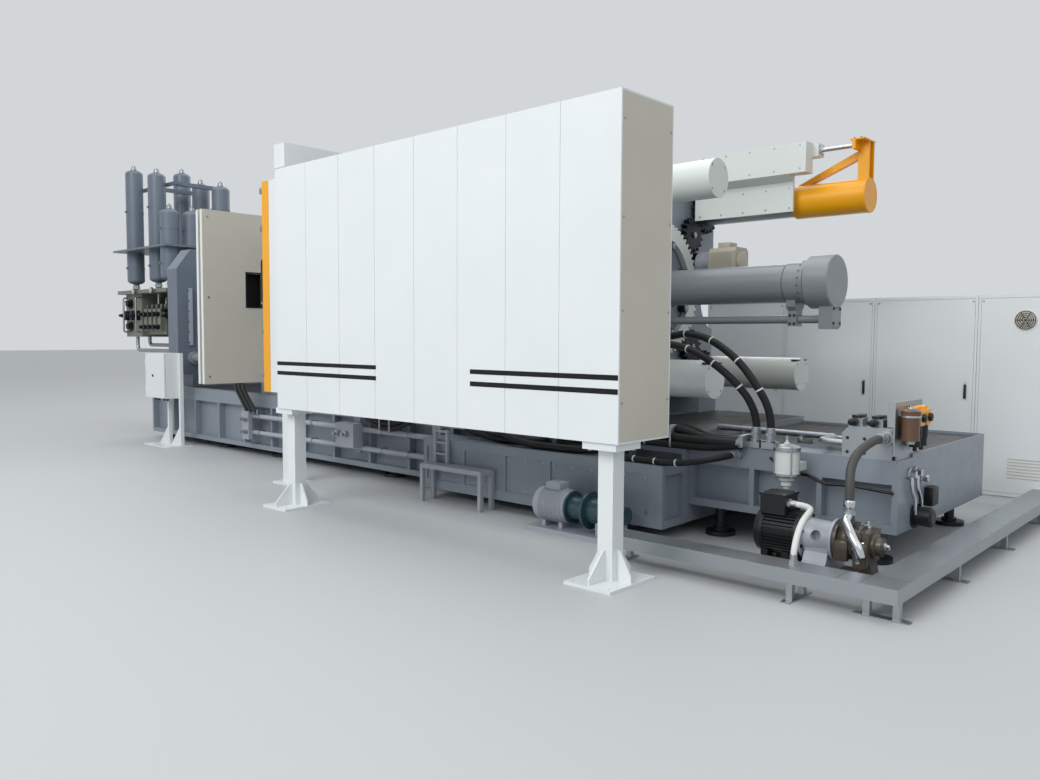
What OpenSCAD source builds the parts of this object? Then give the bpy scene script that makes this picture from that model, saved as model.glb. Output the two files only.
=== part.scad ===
// Cold-chamber die casting machine with toggle clamp, shot end and sliding safety door.
// X runs along the machine towards the clamp end, Y away from the operator, Z up.
// The middle of the footprint stands on the floor at the origin.

/* [Machine axis and tie bars] */
// Height of the machine axis above the floor
axis_z = 2080; // [2000:5:2160]
// Distance between tie bars, centre to centre, across and up
tie_pitch = 1640; // [1600:5:1680]
// Diameter of each tie bar
tie_d = 270; // [240:2:280]
// Radial clearance of a shaft in its bore
fit_gap = 0.5; // [0.2:0.1:1]
// Outer diameter of the white tie bar covers
cover_d = 316; // [310:2:330]
// Length of the tie bar covers behind the adjusting nuts
cover_l = 1060; // [900:10:1200]

/* [Platens] */
// Width of the platens across the machine
platen_w = 2140; // [2100:5:2180]
// Depth of the waist in the sides of the rear platen
waist = 250; // [220:5:270]
// Height of the platens
platen_h = 2140; // [2100:5:2180]
// Die face of the stationary platen, from the middle of the machine
die_x = -1450; // [-1500:5:-1400]
// Thickness of the stationary platen
fixed_t = 440; // [380:5:480]
// Distance between the two die faces
die_space = 1950; // [1900:5:2000]
// Thickness of the moving platen
moving_t = 420; // [380:5:460]
// Distance between the moving platen and the rear platen
toggle_space = 2280; // [2240:5:2320]
// Thickness of the rear platen
rear_t = 470; // [420:5:500]
// Chamfer of the platen corners
platen_chamfer = 110; // [60:5:140]
// Width of the slot for the die clamps
slot_w = 36; // [28:2:44]

/* [Toggle] */
// Length of each toggle link between its pins
link_l = 1060; // [1040:5:1080]
// Height of the outer toggle pins above and below the axis
pin_z = 850; // [820:5:870]
// Diameter of the toggle pins
pin_d = 130; // [100:5:150]
// Thickness of the rear toggle links
link_t = 140; // [100:5:160]
// Distance of the toggle links from the middle plane
link_y = 400; // [380:5:420]
// Outer radius of a link around its pin
link_r = 125; // [110:5:135]
// Stand-off of the toggle pins from the platen faces
lug_x = 230; // [220:5:260]
// Width of the crosshead along the machine
crosshead_t = 220; // [180:5:260]
// Diameter of the crosshead guide rods
guide_d = 90; // [70:5:100]

/* [Die height adjustment] */
// Thickness of the adjusting gears
gear_t = 60; // [50:5:70]
// Stand-off of the gears from the rear platen
gear_gap = 10; // [5:1:20]
// Width of the ring gear rim
ring_rim = 140; // [110:5:170]

/* [Clamp cylinder] */
// Outer diameter of the cylinder tube
clamp_d = 334; // [300:2:360]
// Length of the cylinder tube behind its flange
clamp_l = 1370; // [1300:5:1400]
// Diameter of the end cap
clamp_cap_d = 450; // [420:5:480]
// Length of the end cap
clamp_cap_l = 215; // [180:5:240]
// Diameter of the clamp piston rod
clamp_rod_d = 130; // [110:5:150]
// Drop of the hydraulic pipe below the cylinder axis
pipe_drop = 313; // [300:1:330]
// Diameter of the hydraulic pipe
pipe_d = 70; // [60:2:80]

/* [Tie bar puller] */
// Outer diameter of the yellow puller tube
puller_d = 310; // [305:1:320]
// Length of the puller tube
puller_l = 690; // [670:5:720]
// Gap from the rear platen to the puller tube
puller_gap = 1050; // [1030:5:1070]
// Height of the yellow bracket above the tie bar axis
bracket_h = 490; // [470:5:510]
// Diameter of the puller piston rod
puller_rod_d = 40; // [30:2:50]
// Length of the puller housing
housing_l = 1212; // [1150:5:1250]
// Top of the puller housing above the tie bar axis
housing_h = 488; // [470:5:510]

/* [Base frame] */
// Length of the base frame
base_l = 11356; // [11300:10:11400]
// Distance of the shot end of the base from the middle
base_left = 5000; // [4950:10:5050]
// Width of the base frame
base_w = 2200; // [2190:5:2230]
// Height of the ways that the platens stand on
base_top = 830; // [800:5:860]
// Height of the clearance under the base frame
base_lift = 100; // [80:5:120]
// Width of the narrower clamp end
tail_w = 2100; // [2060:5:2140]
// Height of the narrower clamp end
tail_top = 765; // [740:5:790]
// Height of the clearance under the clamp end
tail_lift = 250; // [200:5:280]
// Depth of the panels between the ribs
rib_depth = 90; // [60:5:120]
// Thickness of the ribs
rib_t = 40; // [25:1:60]
// Height of the top band of the base frame
band_h = 170; // [140:5:200]
// Height of the bottom flange
flange_h = 60; // [40:2:80]
// Diameter of the levelling feet
foot_d = 240; // [200:5:280]

/* [Guard box] */
// Length of the white guard box
guard_l = 3910; // [3850:5:3950]
// Depth of the guard box
guard_w = 580; // [560:2:600]
// Height of the guard box
guard_h = 2200; // [2150:5:2250]
// Height of the bottom of the guard box
guard_z = 930; // [900:5:960]
// Left end of the guard box, from the middle of the machine
guard_x = 1320; // [1290:5:1350]
// Front face of the guard box, from the machine axis
guard_y = 2750; // [2730:5:2760]
// Width of the square guard posts
post_w = 120; // [100:5:140]
// Inset of the post centres from the ends of the box
post_inset = 120; // [100:5:160]
// Length of the post base plate across the machine
plate_l = 500; // [460:5:520]
// Width of the post base plate
plate_w = 380; // [340:5:400]
// Spacing of the anchor holes across the machine
anchor_l = 410; // [380:5:430]
// Spacing of the anchor holes along the machine
anchor_w = 290; // [260:5:310]
// Diameter of the anchor holes
anchor_d = 22; // [18:1:26]

/* [Safety door] */
// Length of the sliding door
door_l = 3000; // [2950:5:3050]
// Height of the sliding door
door_h = 2250; // [2200:5:2280]
// Thickness of the sliding door
door_t = 80; // [70:2:90]
// Leading edge of the door, from the middle of the machine
door_x = 50; // [20:5:80]
// Width of the yellow edge strip
edge_w = 130; // [100:5:150]
// Length of the door handle
handle_h = 490; // [400:5:550]
// Stand-off of the door handle
handle_x = 85; // [70:5:100]
// Diameter of the door rollers
roller_d = 100; // [80:2:110]

/* [Side walls] */
// Thickness of the side walls
wall_t = 150; // [120:5:170]
// Front edge of the side walls, from the machine axis
wall_y = 2020; // [2000:5:2030]
// Height of the side walls
wall_h = 2120; // [2050:5:2150]
// Width of the look-out window
window_w = 200; // [160:5:240]
// Height of the look-out window
window_h = 420; // [380:5:460]

/* [Gantry] */
// Height of the underside of the cross beam
gantry_z = 3390; // [3360:5:3420]
// Height of the cross beam
gantry_h = 250; // [220:5:280]
// Width of the cross beam
gantry_w = 200; // [160:5:220]
// Width of the gantry posts
gantry_post = 140; // [120:5:160]

/* [Shot end] */
// Height of the shot axis below the machine axis
shot_drop = 80; // [60:5:100]
// Diameter of the bore for the shot sleeve
sleeve_d = 220; // [200:2:240]
// Thickness of the shot frame plate
cframe_t = 310; // [280:5:340]
// Distance between the shot frame and the stationary platen
cframe_gap = 2270; // [2250:5:2300]
// Outer diameter of the shot cylinder
shot_d = 440; // [400:5:480]
// Length of the shot cylinder tube
shot_l = 1500; // [1450:5:1550]
// Diameter of the tie rods of the shot frame
shot_rod_d = 140; // [120:5:150]
// Diameter of the plunger rod
plunger_d = 110; // [90:5:120]

/* [Accumulators] */
// Diameter of the tall accumulators
tall_d = 280; // [250:5:300]
// Height of the tall accumulators
tall_h = 1800; // [1750:5:1850]
// Diameter of the gas bottles
bottle_d = 290; // [260:5:310]
// Height of the short gas bottles
short_h = 1150; // [1100:5:1200]
// Height of the bottom of the accumulators
bank_z = 2480; // [2460:5:2500]

/* [Control box] */
// Width of the control box
ctrl_w = 600; // [560:5:640]
// Height of the control box
ctrl_h = 650; // [600:5:700]
// Depth of the control box
ctrl_d = 230; // [200:5:260]
// Height of the bottom of the control box
ctrl_z = 700; // [680:5:740]

/* [Pump group] */
// Diameter of the pump motor
motor_d = 320; // [300:5:340]
// Length of the pump motor
motor_l = 330; // [310:5:350]
// Height of the pump shaft
pump_z = 270; // [255:5:285]
// Diameter of the oil filter
filter_d = 190; // [170:5:210]
// Height of the oil filter
filter_h = 240; // [220:5:260]

/* [Cable tray and cabinet] */
// Width of the cable tray
tray_w = 220; // [200:5:240]
// Height of the cable tray
tray_h = 90; // [70:5:110]
// Height of the underside of the tray
tray_z = 110; // [90:5:130]
// Width of each cabinet bay
bay_w = 990; // [960:5:1010]
// Depth of the cabinet
cabinet_d = 782; // [740:2:800]
// Height of the cabinet
cabinet_h = 2030; // [1950:5:2080]

/* [Hidden] */
$fn = 64;

tie_s = tie_pitch / 2;
tie_spots = [[-1, -1], [-1, 1], [1, -1], [1, 1]];
fixed_x0 = die_x - fixed_t;
moving_x0 = die_x + die_space;
moving_x1 = moving_x0 + moving_t;
rear_x0 = moving_x1 + toggle_space;
rear_x1 = rear_x0 + rear_t;
platen_z0 = axis_z - platen_h / 2;
platen_z1 = axis_z + platen_h / 2;
base_x1 = base_l - base_left;
tail_x = 4710;
tank_y = -base_w / 2 - 356;
tank_top = 600;
clamp_neck_l = 210;
gear_x0 = rear_x1 + gear_gap;
gear_x1 = gear_x0 + gear_t;
cover_x1 = gear_x1 + cover_l;
nut_l = 200;
nut_d = tie_d + 160;

// Adjusting gears: the ring, an idler and the nut of each tie bar lie on one line.
ring_teeth = 64;
idler_teeth = 16;
nut_teeth = 20;
gear_m = 2 * norm([tie_s, tie_s]) / (ring_teeth + 2 * idler_teeth + nut_teeth);
ring_r = gear_m * ring_teeth / 2;
idler_r = gear_m * idler_teeth / 2;
// The block of the hose fittings lies just above the nut's teeth.
hose_block_z = ceil(axis_z - tie_s + gear_m * (nut_teeth / 2 + 1) + 15);
drive_teeth = 10;
drive_r = gear_m * drive_teeth / 2;
drive_a = 22.5;
drive_at = (ring_r + drive_r) * [cos(drive_a), sin(drive_a)];

// Toggle pins: rear pin, knee and front pin of the upper half.
pin_gap = 5;
toggle_xr = rear_x0 - lug_x;
toggle_xf = moving_x1 + lug_x;
knee_dx = (toggle_xr - toggle_xf) / 2;
knee_x = (toggle_xr + toggle_xf) / 2;
knee_z = pin_z - sqrt(link_l * link_l - knee_dx * knee_dx);
ear_share = 0.58;
ear_x = toggle_xr + (knee_x - toggle_xr) * ear_share;
ear_z = pin_z + (knee_z - pin_z) * ear_share;
cross_x = rear_x0 - 620;
cross_z = 165;
cross_pin_d = 90;
plate_t = 65;

// Guard: the door runs behind the box, the posts stand in its front half.
guard_x1 = guard_x + guard_l;
guard_y1 = -guard_y + guard_w;
guard_z1 = guard_z + guard_h;
post_y = -guard_y + 150;
post_xl = guard_x + 80;
post_xr = guard_x1 - 160;
door_gap = 40;
door_y0 = guard_y1 + door_gap;
door_y1 = door_y0 + door_t;
door_z = guard_z + 70;
door_x1 = door_x + door_l;
rail_y0 = door_y1 + 5;
rail_t = 40;
rail_z1 = door_z + door_h - 140;
rail_h = 60;
rail_x0 = door_x + 50;
rail_x1 = door_x1 + 1350;
wall_x1 = die_x - 50;
wall_x0 = wall_x1 - wall_t;
gantry_x = door_x + 200;
gantry_y1 = -(rail_y0 + rail_t + 10);

// Shot end
shot_z = axis_z - shot_drop;
cframe_x1 = fixed_x0 - cframe_gap;
cframe_x0 = cframe_x1 - cframe_t;
shot_flange_t = 120;
shot_tube_x0 = cframe_x0 - shot_flange_t - shot_l;
shot_end_x0 = -7000;
bank_y = -600;
tall_x = [-6650, -5790];
short_at = [[-5150, -700], [-5130, -330]];
back_at = [[-6640, 250], [-5950, 250], [-5260, 250]];
low_rod = [tie_s, axis_z - tie_s];
high_rod = [560, axis_z + 620];

// Puller
puller_x0 = rear_x1 + puller_gap;
puller_x1 = puller_x0 + puller_l;
tie_y = tie_s;
tie_top = axis_z + tie_s;
housing_x0 = gear_x1 + 5;
housing_x1 = housing_x0 + housing_l;
rod_z = tie_top + 430;
rod_y = tie_y - 155;
stroke_out = 450;
stroke_in = 270;
housing_y0 = tie_y - 370;

// Control box, pumps, tray and cabinet
ctrl_x = -3850;
ctrl_y = -1550;
pump_x = 5600;
pump_y = -1530;
pump_feed_x = pump_x + motor_l + 285;
filter_x = 5645;
tray_x0 = 4700;
tray_x1 = 6760;
tray_y = -2200;
cabinet_x1 = 7000;
bays = 4;
cabinet_x0 = cabinet_x1 - bays * bay_w;
cabinet_y = 2068;

// Routes of the free hoses, hand-laid.
hose_d = 60;
hose_x = [5280, 5400];
pressure_route = [[3800, -1000, 1540], [3930, -1000, 1540], [4060, -1000, 1540],
  [4190, -1010, 1545], [4330, -1030, 1550], [4470, -1060, 1550], [4605, -1100, 1540],
  [4735, -1135, 1515], [4860, -1160, 1470], [4980, -1165, 1405], [5085, -1145, 1325],
  [5172, -1105, 1230], [5243, -1055, 1110], [5280, -1020, 960], [5280, -1020, 860]];
return_route = [[3800, -910, 1540], [3935, -910, 1540], [4075, -910, 1545], [4215, -920, 1565],
  [4355, -940, 1595], [4495, -970, 1620], [4640, -1010, 1635], [4780, -1050, 1620],
  [4915, -1080, 1580], [5040, -1100, 1515], [5155, -1105, 1430], [5250, -1095, 1325],
  [5325, -1073, 1210], [5378, -1043, 1090], [5400, -1020, 965], [5400, -1020, 860]];
loop_d = 50;
loop_route = [[5150, -1110, 700], [5150, -1180, 700], [5132, -1270, 695], [5081, -1346, 682],
  [5005, -1397, 665], [4915, -1415, 648], [4817, -1415, 634], [4719, -1415, 628],
  [4621, -1415, 628], [4523, -1415, 628], [4425, -1415, 628], [4335, -1397, 630],
  [4259, -1346, 637], [4208, -1270, 646], [4190, -1180, 650], [4190, -1130, 650]];
suction_route = [[6215, -1530, 450], [6215, -1530, 515], [6215, -1530, 580], [6213, -1527, 628],
  [6208, -1516, 676], [6203, -1499, 721], [6202, -1476, 764], [6205, -1447, 803],
  [6213, -1413, 837], [6226, -1374, 866], [6239, -1331, 889], [6251, -1286, 906],
  [6259, -1238, 917], [6262, -1190, 920], [6262, -1150, 920], [6262, -1110, 920]];
conduit_d = 40;
conduit_route = [[5820, -1590, 480], [5850, -1590, 480], [5895, -1592, 480], [5945, -1610, 480],
  [5990, -1645, 480], [6022, -1692, 478], [6040, -1748, 473], [6050, -1806, 463],
  [6057, -1862, 447], [6063, -1916, 423], [6069, -1965, 390], [6074, -2006, 348],
  [6078, -2037, 300], [6078, -2050, 250], [6078, -2050, 200]];

function unit(v) = v / norm(v);
function mid(a, b) = (a + b) / 2;

module box(a, b) translate(a) cube(b - a);
module xrod(x0, x1, y, z, d) translate([x0, y, z]) rotate([0, 90, 0]) cylinder(d = d, h = x1 - x0);
module yrod(y0, y1, x, z, d) translate([x, y1, z]) rotate([90, 0, 0]) cylinder(d = d, h = y1 - y0);
module zrod(z0, z1, x, y, d) translate([x, y, z0]) cylinder(d = d, h = z1 - z0);

// Turned form along X from x at [y, z]; the profile is a list of [distance, radius].
module turned(x, y, z, profile) translate([x, y, z]) rotate([0, 90, 0]) rotate_extrude()
  polygon(concat([[0, profile[0][0]]], [for (p = profile) [p[1], p[0]]],
    [[0, profile[len(profile) - 1][0]]]));

// Plate across the machine, drawn in Y and Z, thickness along X.
module across(x0, x1) translate([x0, 0, 0]) rotate([90, 0, 90]) linear_extrude(x1 - x0) children();
// Plate along the machine, drawn in X and Z, thickness along Y.
module along(y0, y1) translate([0, y1, 0]) rotate([90, 0, 0]) linear_extrude(y1 - y0) children();

module chamfered(w, h, c) polygon([[-w / 2 + c, -h / 2], [w / 2 - c, -h / 2], [w / 2, -h / 2 + c],
  [w / 2, h / 2 - c], [w / 2 - c, h / 2], [-w / 2 + c, h / 2], [-w / 2, h / 2 - c],
  [-w / 2, -h / 2 + c]]);

module tie_holes(x0, x1) for (s = tie_spots)
  xrod(x0, x1, s[0] * tie_s, axis_z + s[1] * tie_s, tie_d + 2 * fit_gap);

module platen(x0, x1) difference() {
  across(x0, x1) translate([0, axis_z]) chamfered(platen_w, platen_h, platen_chamfer);
  tie_holes(x0 - 1, x1 + 1);
}

// Shoes that a platen from x0 to x1 stands on, longer than it by over at both ends.
module shoes(x0, x1, over) for (s = [-1, 1])
  box([x0 - over, s * 850 - 170, base_top], [x1 + over, s * 850 + 170, platen_z0 + 5]);

// T-slots for the die clamps, cut into the face at x, towards dir.
module t_slots(x, dir) for (dz = [-780, -520, -260, 260, 520, 780]) {
  reach = tie_s - tie_d / 2 - 60;
  box([min(x, x + dir * 40) - (dir > 0 ? 1 : 0), -reach, axis_z + dz - slot_w / 2],
    [max(x, x + dir * 40) + (dir > 0 ? 0 : 1), reach, axis_z + dz + slot_w / 2]);
  box([min(x + dir * 40, x + dir * 70), -reach, axis_z + dz - slot_w],
    [max(x + dir * 40, x + dir * 70), reach, axis_z + dz + slot_w]);
}

function gear_points(teeth) = [for (i = [0 : teeth - 1]) for (k = [[-0.3, -1.15], [-0.14, 0.8],
  [0.14, 0.8], [0.3, -1.15]]) let (a = 360 * (i + k[0]) / teeth, r = gear_m * (teeth / 2 + k[1]))
  r * [cos(a), sin(a)]];

// Gear in the plane of the adjusting train, at [y, z] from the axis.
module gear(teeth, at, turn, bore) across(gear_x0, gear_x1) translate([at[0], axis_z + at[1]])
  difference() {
    rotate(turn) polygon(gear_points(teeth));
    circle(d = bore);
  }

// Link between two points in X and Z, with a round end and a bore at each.
module link(a, b, r, bore, y0, y1) {
  d = unit(b - a);
  n = r * [-d[1], d[0]];
  difference() {
    along(y0, y1) union() {
      translate(a) circle(r);
      translate(b) circle(r);
      polygon([a + n, b + n, b - n, a - n]);
    }
    for (p = [a, b]) yrod(y0 - 1, y1 + 1, p[0], p[1], bore + 2 * fit_gap);
  }
}

// Lug from a platen face at x to the pin at p, bored for the pin.
module lug(x, p, r, y0, y1) difference() {
  along(y0, y1) union() {
    translate(p) circle(r);
    translate([min(x, p[0]), p[1] - r]) square([abs(p[0] - x), 2 * r]);
  }
  yrod(y0 - 1, y1 + 1, p[0], p[1], pin_d + 2 * fit_gap);
}

// Tube swept along a route, with one ring of eight points at each.
module tube(route, d) {
  n = len(route);
  rings = [for (i = [0 : n - 1])
    let (t = unit(route[min(i + 1, n - 1)] - route[max(i - 1, 0)]),
      u = unit(cross(t, [0.3, 0.9, 0.1])), v = cross(t, u))
    for (k = [0 : 7]) route[i] + d / 2 * (cos(45 * k) * u + sin(45 * k) * v)];
  polyhedron(rings, concat([[for (k = [0 : 7]) k]], [[for (k = [0 : 7]) 8 * n - 1 - k]],
    [for (i = [0 : n - 2]) for (k = [0 : 7]) for (t = [0, 1]) t == 0 ?
      [8 * i + k, 8 * i + 8 + k, 8 * i + 8 + (k + 1) % 8] :
      [8 * i + k, 8 * i + 8 + (k + 1) % 8, 8 * i + (k + 1) % 8]]));
}

// Welded box section with panels set back between ribs on both sides.
module base_block(x0, x1, w, lift, top, panels) {
  pitch = (x1 - x0 - rib_t) / panels;
  difference() {
    box([x0, -w / 2, lift], [x1, w / 2, top]);
    for (s = [-1, 1]) for (i = [0 : panels - 1])
      translate([x0 + rib_t + i * pitch, s * (w / 2 - rib_depth / 2), lift + flange_h])
        translate([0, -rib_depth / 2 - (s < 0 ? 1 : 0), 0])
          cube([pitch - rib_t, rib_depth + 1, top - band_h - lift - flange_h]);
  }
}

module base_frame() color("#7E8A96") {
  base_block(-base_left, tail_x, base_w, base_lift, base_top, 14);
  base_block(tail_x, base_x1, tail_w, tail_lift, tail_top, 3);
  // Drip rim round the clamp end, and fittings for the hose that lies on the side tank.
  difference() {
    box([tail_x, -tail_w / 2, tail_top - 1], [base_x1, tail_w / 2, tail_top + 25]);
    box([tail_x - 1, -tail_w / 2 + 300, tail_top], [base_x1 - 12, tail_w / 2 - 12, tail_top + 26]);
    box([tail_x - 1, -tail_w / 2 - 1, tail_top], [base_x1 + 1, -tail_w / 2 + 290, tail_top + 26]);
    box([base_x1 - 36, -tail_w / 2 - 1, tail_top], [base_x1 - 12, tail_w / 2 - 500, tail_top + 26]);
  }
  yrod(-1110, -tail_w / 2, loop_route[0][0], loop_route[0][2], 90);
  yrod(-1130, -base_w / 2, 4190, 650, 90);
}

module side_tank() color("#7E8A96") difference() {
  box([1900, tank_y, base_lift], [tail_x + 10, -base_w / 2, tank_top]);
  box([tail_x - 30, tank_y + 40, base_lift + 60], [tail_x + 11, -base_w / 2 - 60, tank_top - 80]);
  for (i = [0 : 4]) box([1950 + i * 540, tank_y - 1, base_lift + 90],
    [2430 + i * 540, tank_y + 12, tank_top - 80]);
}

foot_x = [-4750, -3100, -1670, 710, 2300, 3430, 4900, 6150];
module levelling_feet() color("#3B4046") for (x = foot_x) for (s = [-1, 1]) {
  zrod(0, 35, x, s * (tail_w / 2 - 190), foot_d);
  zrod(35, x > tail_x ? tail_lift : base_lift, x, s * (tail_w / 2 - 190), foot_d / 3);
  zrod(35, 60, x, s * (tail_w / 2 - 190), foot_d / 2);
}

module stationary_platen() color("#8C98A3") {
  difference() {
    platen(fixed_x0, die_x);
    xrod(fixed_x0 - 1, die_x + 1, 0, shot_z, sleeve_d);
    t_slots(die_x, -1);
  }
  shoes(fixed_x0, die_x, 0);
}

module moving_platen() color("#8C98A3") {
  difference() {
    platen(moving_x0, moving_x1);
    t_slots(moving_x0, 1);
  }
  for (s = [-1, 1]) for (m = [-1, 1])
    lug(moving_x1, [toggle_xf, axis_z + s * pin_z], link_r, m * link_y - link_t / 2,
      m * link_y + link_t / 2);
  shoes(moving_x0, moving_x1, 90);
}

module rear_platen() color("#8C98A3") {
  shoes(rear_x0, rear_x1, 90);
  box([rear_x1 - 20, -1060, hose_block_z], [rear_x1 + 130, -850, hose_block_z + 95]);
  difference() {
    platen(rear_x0, rear_x1);
    xrod(rear_x0 - 1, rear_x1 + 1, 0, axis_z, clamp_rod_d + 2 * fit_gap);
    for (s = [-1, 1]) across(rear_x0 - 1, rear_x1 + 1) translate([s * platen_w / 2, axis_z])
      scale([1, 1.5]) circle(waist);
  }
  for (s = [-1, 1]) for (m = [-1, 1]) for (k = [-1, 1]) {
    y = m * link_y + k * (link_t / 2 + pin_gap + plate_t / 2);
    lug(rear_x0, [toggle_xr, axis_z + s * pin_z], link_r, y - plate_t / 2, y + plate_t / 2);
  }
}

// Tie bars, with their nuts on the shot side of the stationary platen.
module tie_bars() color("#B9BEC2") for (s = tie_spots) {
  y = s[0] * tie_s;
  z = axis_z + s[1] * tie_s;
  xrod(fixed_x0 - nut_l - 60, gear_x1 + cover_l - 60 + (s == [1, 1] ? 280 : 0), y, z, tie_d);
  difference() {
    xrod(fixed_x0 - nut_l, fixed_x0, y, z, nut_d);
    xrod(fixed_x0 - nut_l - 1, fixed_x0 + 1, y, z, tie_d + 2 * fit_gap);
  }
}

module tie_bar_covers() color("#E4E8E6") for (s = [[-1, -1], [-1, 1], [1, -1]]) difference() {
  xrod(gear_x1, cover_x1, s[0] * tie_s, axis_z + s[1] * tie_s, cover_d);
  xrod(gear_x1 - 1, cover_x1 - 8, s[0] * tie_s, axis_z + s[1] * tie_s, cover_d - 16);
}

module rear_links() color("#59626B") for (s = [-1, 1]) for (m = [-1, 1]) {
  y = m * link_y;
  difference() {
    link([toggle_xr, axis_z + s * pin_z], [knee_x, axis_z + s * knee_z], link_r, pin_d,
      y - link_t / 2, y + link_t / 2);
    yrod(y - link_t, y + link_t, ear_x, axis_z + s * ear_z, cross_pin_d + 2 * fit_gap);
  }
}

module front_links() color("#66707A") for (s = [-1, 1]) for (m = [-1, 1]) {
  for (k = [-1, 1]) {
    y = m * link_y + k * (link_t / 2 + pin_gap + plate_t / 2);
    link([toggle_xf, axis_z + s * pin_z], [knee_x, axis_z + s * knee_z], link_r, pin_d,
      y - plate_t / 2, y + plate_t / 2);
  }
  reach = link_t / 2 + pin_gap + plate_t + 12;
  for (p = [[toggle_xr, pin_z], [knee_x, knee_z], [toggle_xf, pin_z]])
    yrod(m * link_y - reach, m * link_y + reach, p[0], axis_z + s * p[1], pin_d);
}

module crosshead() color("#59626B") {
  difference() {
    union() {
      box([cross_x - crosshead_t / 2, -link_y - 130, axis_z - 80],
        [cross_x + crosshead_t / 2, link_y + 130, axis_z + 80]);
      for (s = [-1, 1]) for (m = [-1, 1])
        along(m * link_y - link_t / 2, m * link_y + link_t / 2) {
          translate([cross_x, axis_z + s * cross_z]) circle(75);
          translate([cross_x - 75, axis_z + min(s * cross_z, 0)]) square([150, cross_z]);
        }
    }
    for (m = [-1, 1]) {
      xrod(cross_x - 200, cross_x + 200, m * (link_y - 190), axis_z, guide_d + 2 * fit_gap);
      for (s = [-1, 1]) yrod(m * link_y - link_t, m * link_y + link_t, cross_x,
        axis_z + s * cross_z, cross_pin_d + 2 * fit_gap);
    }
  }
  for (s = [-1, 1]) for (m = [-1, 1]) {
    for (k = [-1, 1]) {
      y = m * link_y + k * (link_t / 2 + pin_gap + plate_t / 2);
      link([cross_x, axis_z + s * cross_z], [ear_x, axis_z + s * ear_z], 75, cross_pin_d,
        y - plate_t / 2, y + plate_t / 2);
    }
    reach = link_t / 2 + pin_gap + plate_t + 12;
    for (p = [[cross_x, cross_z], [ear_x, ear_z]])
      yrod(m * link_y - reach, m * link_y + reach, p[0], axis_z + s * p[1], cross_pin_d);
  }
}

// Crosshead guide rods and the piston rod between them.
module guide_rods() color("#C9CED2") {
  for (m = [-1, 1]) xrod(cross_x - 900, rear_x0, m * (link_y - 190), axis_z, guide_d);
  xrod(cross_x + crosshead_t / 2, rear_x1, 0, axis_z, clamp_rod_d);
}

module ring_gear() color("#D5DAD8") gear(ring_teeth, [0, 0], 0, 2 * (ring_r - ring_rim));

module adjusting_gears() color("#4A5158") {
  for (s = tie_spots) {
    a = atan2(s[1], s[0]);
    gear(nut_teeth, tie_s * s, a, tie_d + 2 * fit_gap);
    difference() {
      xrod(rear_x1, gear_x0, s[0] * tie_s, axis_z + s[1] * tie_s, nut_d - 60);
      xrod(rear_x1 - 1, gear_x0 + 1, s[0] * tie_s, axis_z + s[1] * tie_s, tie_d + 2 * fit_gap);
    }
    gear(idler_teeth, (ring_r + idler_r) * [cos(a), sin(a)], a + 180 / idler_teeth, 50);
    translate([0, (ring_r + idler_r) * cos(a), axis_z + (ring_r + idler_r) * sin(a)])
      xrod(rear_x1, gear_x1 + 15, 0, 0, 49);
  }
  for (i = [0 : 7]) {
    r = ring_r - ring_rim - 40.3;
    xrod(rear_x1, gear_x1 + 10, r * cos(45 * i + 22.5), axis_z + r * sin(45 * i + 22.5), 80);
  }
  gear(drive_teeth, drive_at, drive_a + 180 + 180 / drive_teeth, 50);
  xrod(rear_x1, gear_x1 + 10, drive_at[0], axis_z + drive_at[1], 49);
  turned(gear_x1 + 10, drive_at[0], axis_z + drive_at[1], [[0, 115], [70, 115], [80, 105],
    [150, 105], [150, 130], [175, 130]]);
  across(gear_x1 + 175, gear_x1 + 470) translate([drive_at[0], axis_z + drive_at[1]])
    chamfered(270, 270, 40);
}

module clamp_cylinder() color("#7F8A95") difference() {
  r = clamp_d / 2;
  neck = clamp_l + clamp_neck_l;
  turned(rear_x1, 0, axis_z, [[0, r + 100], [84, r + 100], [90, r + 94], [90, r + 12], [102, r],
    [clamp_l, r], [clamp_l, r - 7], [clamp_l + 14, r - 7], [clamp_l + 14, r + 7],
    [neck - 50, r + 7], [neck - 50, r + 26], [neck - 16, r + 26], [neck - 16, r + 10], [neck, r + 10],
    [neck, clamp_cap_d / 2 - 6], [neck + 6, clamp_cap_d / 2],
    [neck + clamp_cap_l - 8, clamp_cap_d / 2], [neck + clamp_cap_l, clamp_cap_d / 2 - 8]]);
  for (i = [0 : 11]) xrod(rear_x1 + 70, rear_x1 + 91, (r + 60) * cos(30 * i + 15),
    axis_z + (r + 60) * sin(30 * i + 15), 36);
}

module cylinder_pipe() color("#6E7982") {
  z = axis_z - pipe_drop;
  end_x = rear_x1 + clamp_l + clamp_neck_l + clamp_cap_l;
  clip_x = rear_x1 + clamp_l + 18;
  xrod(rear_x1, end_x - 117, 0, z, pipe_d);
  difference() {
    along(-90, 90) polygon([[end_x - 117, z - 85], [end_x - 20, z - 85], [end_x, z - 60],
      [end_x, axis_z - 150], [end_x - 117, axis_z - 150]]);
    xrod(end_x - 118, end_x + 1, 0, axis_z, clamp_cap_d);
  }
  difference() {
    across(clip_x, clip_x + 80) polygon([[-90, axis_z - 130], [-90, axis_z - 205], [-55, axis_z - 240],
      [-55, z - 60], [55, z - 60], [55, axis_z - 240], [90, axis_z - 205], [90, axis_z - 130]]);
    xrod(clip_x - 1, clip_x + 81, 0, z, pipe_d + 2 * fit_gap);
    xrod(clip_x - 1, clip_x + 81, 0, axis_z, clamp_d + 14);
  }
}

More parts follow.
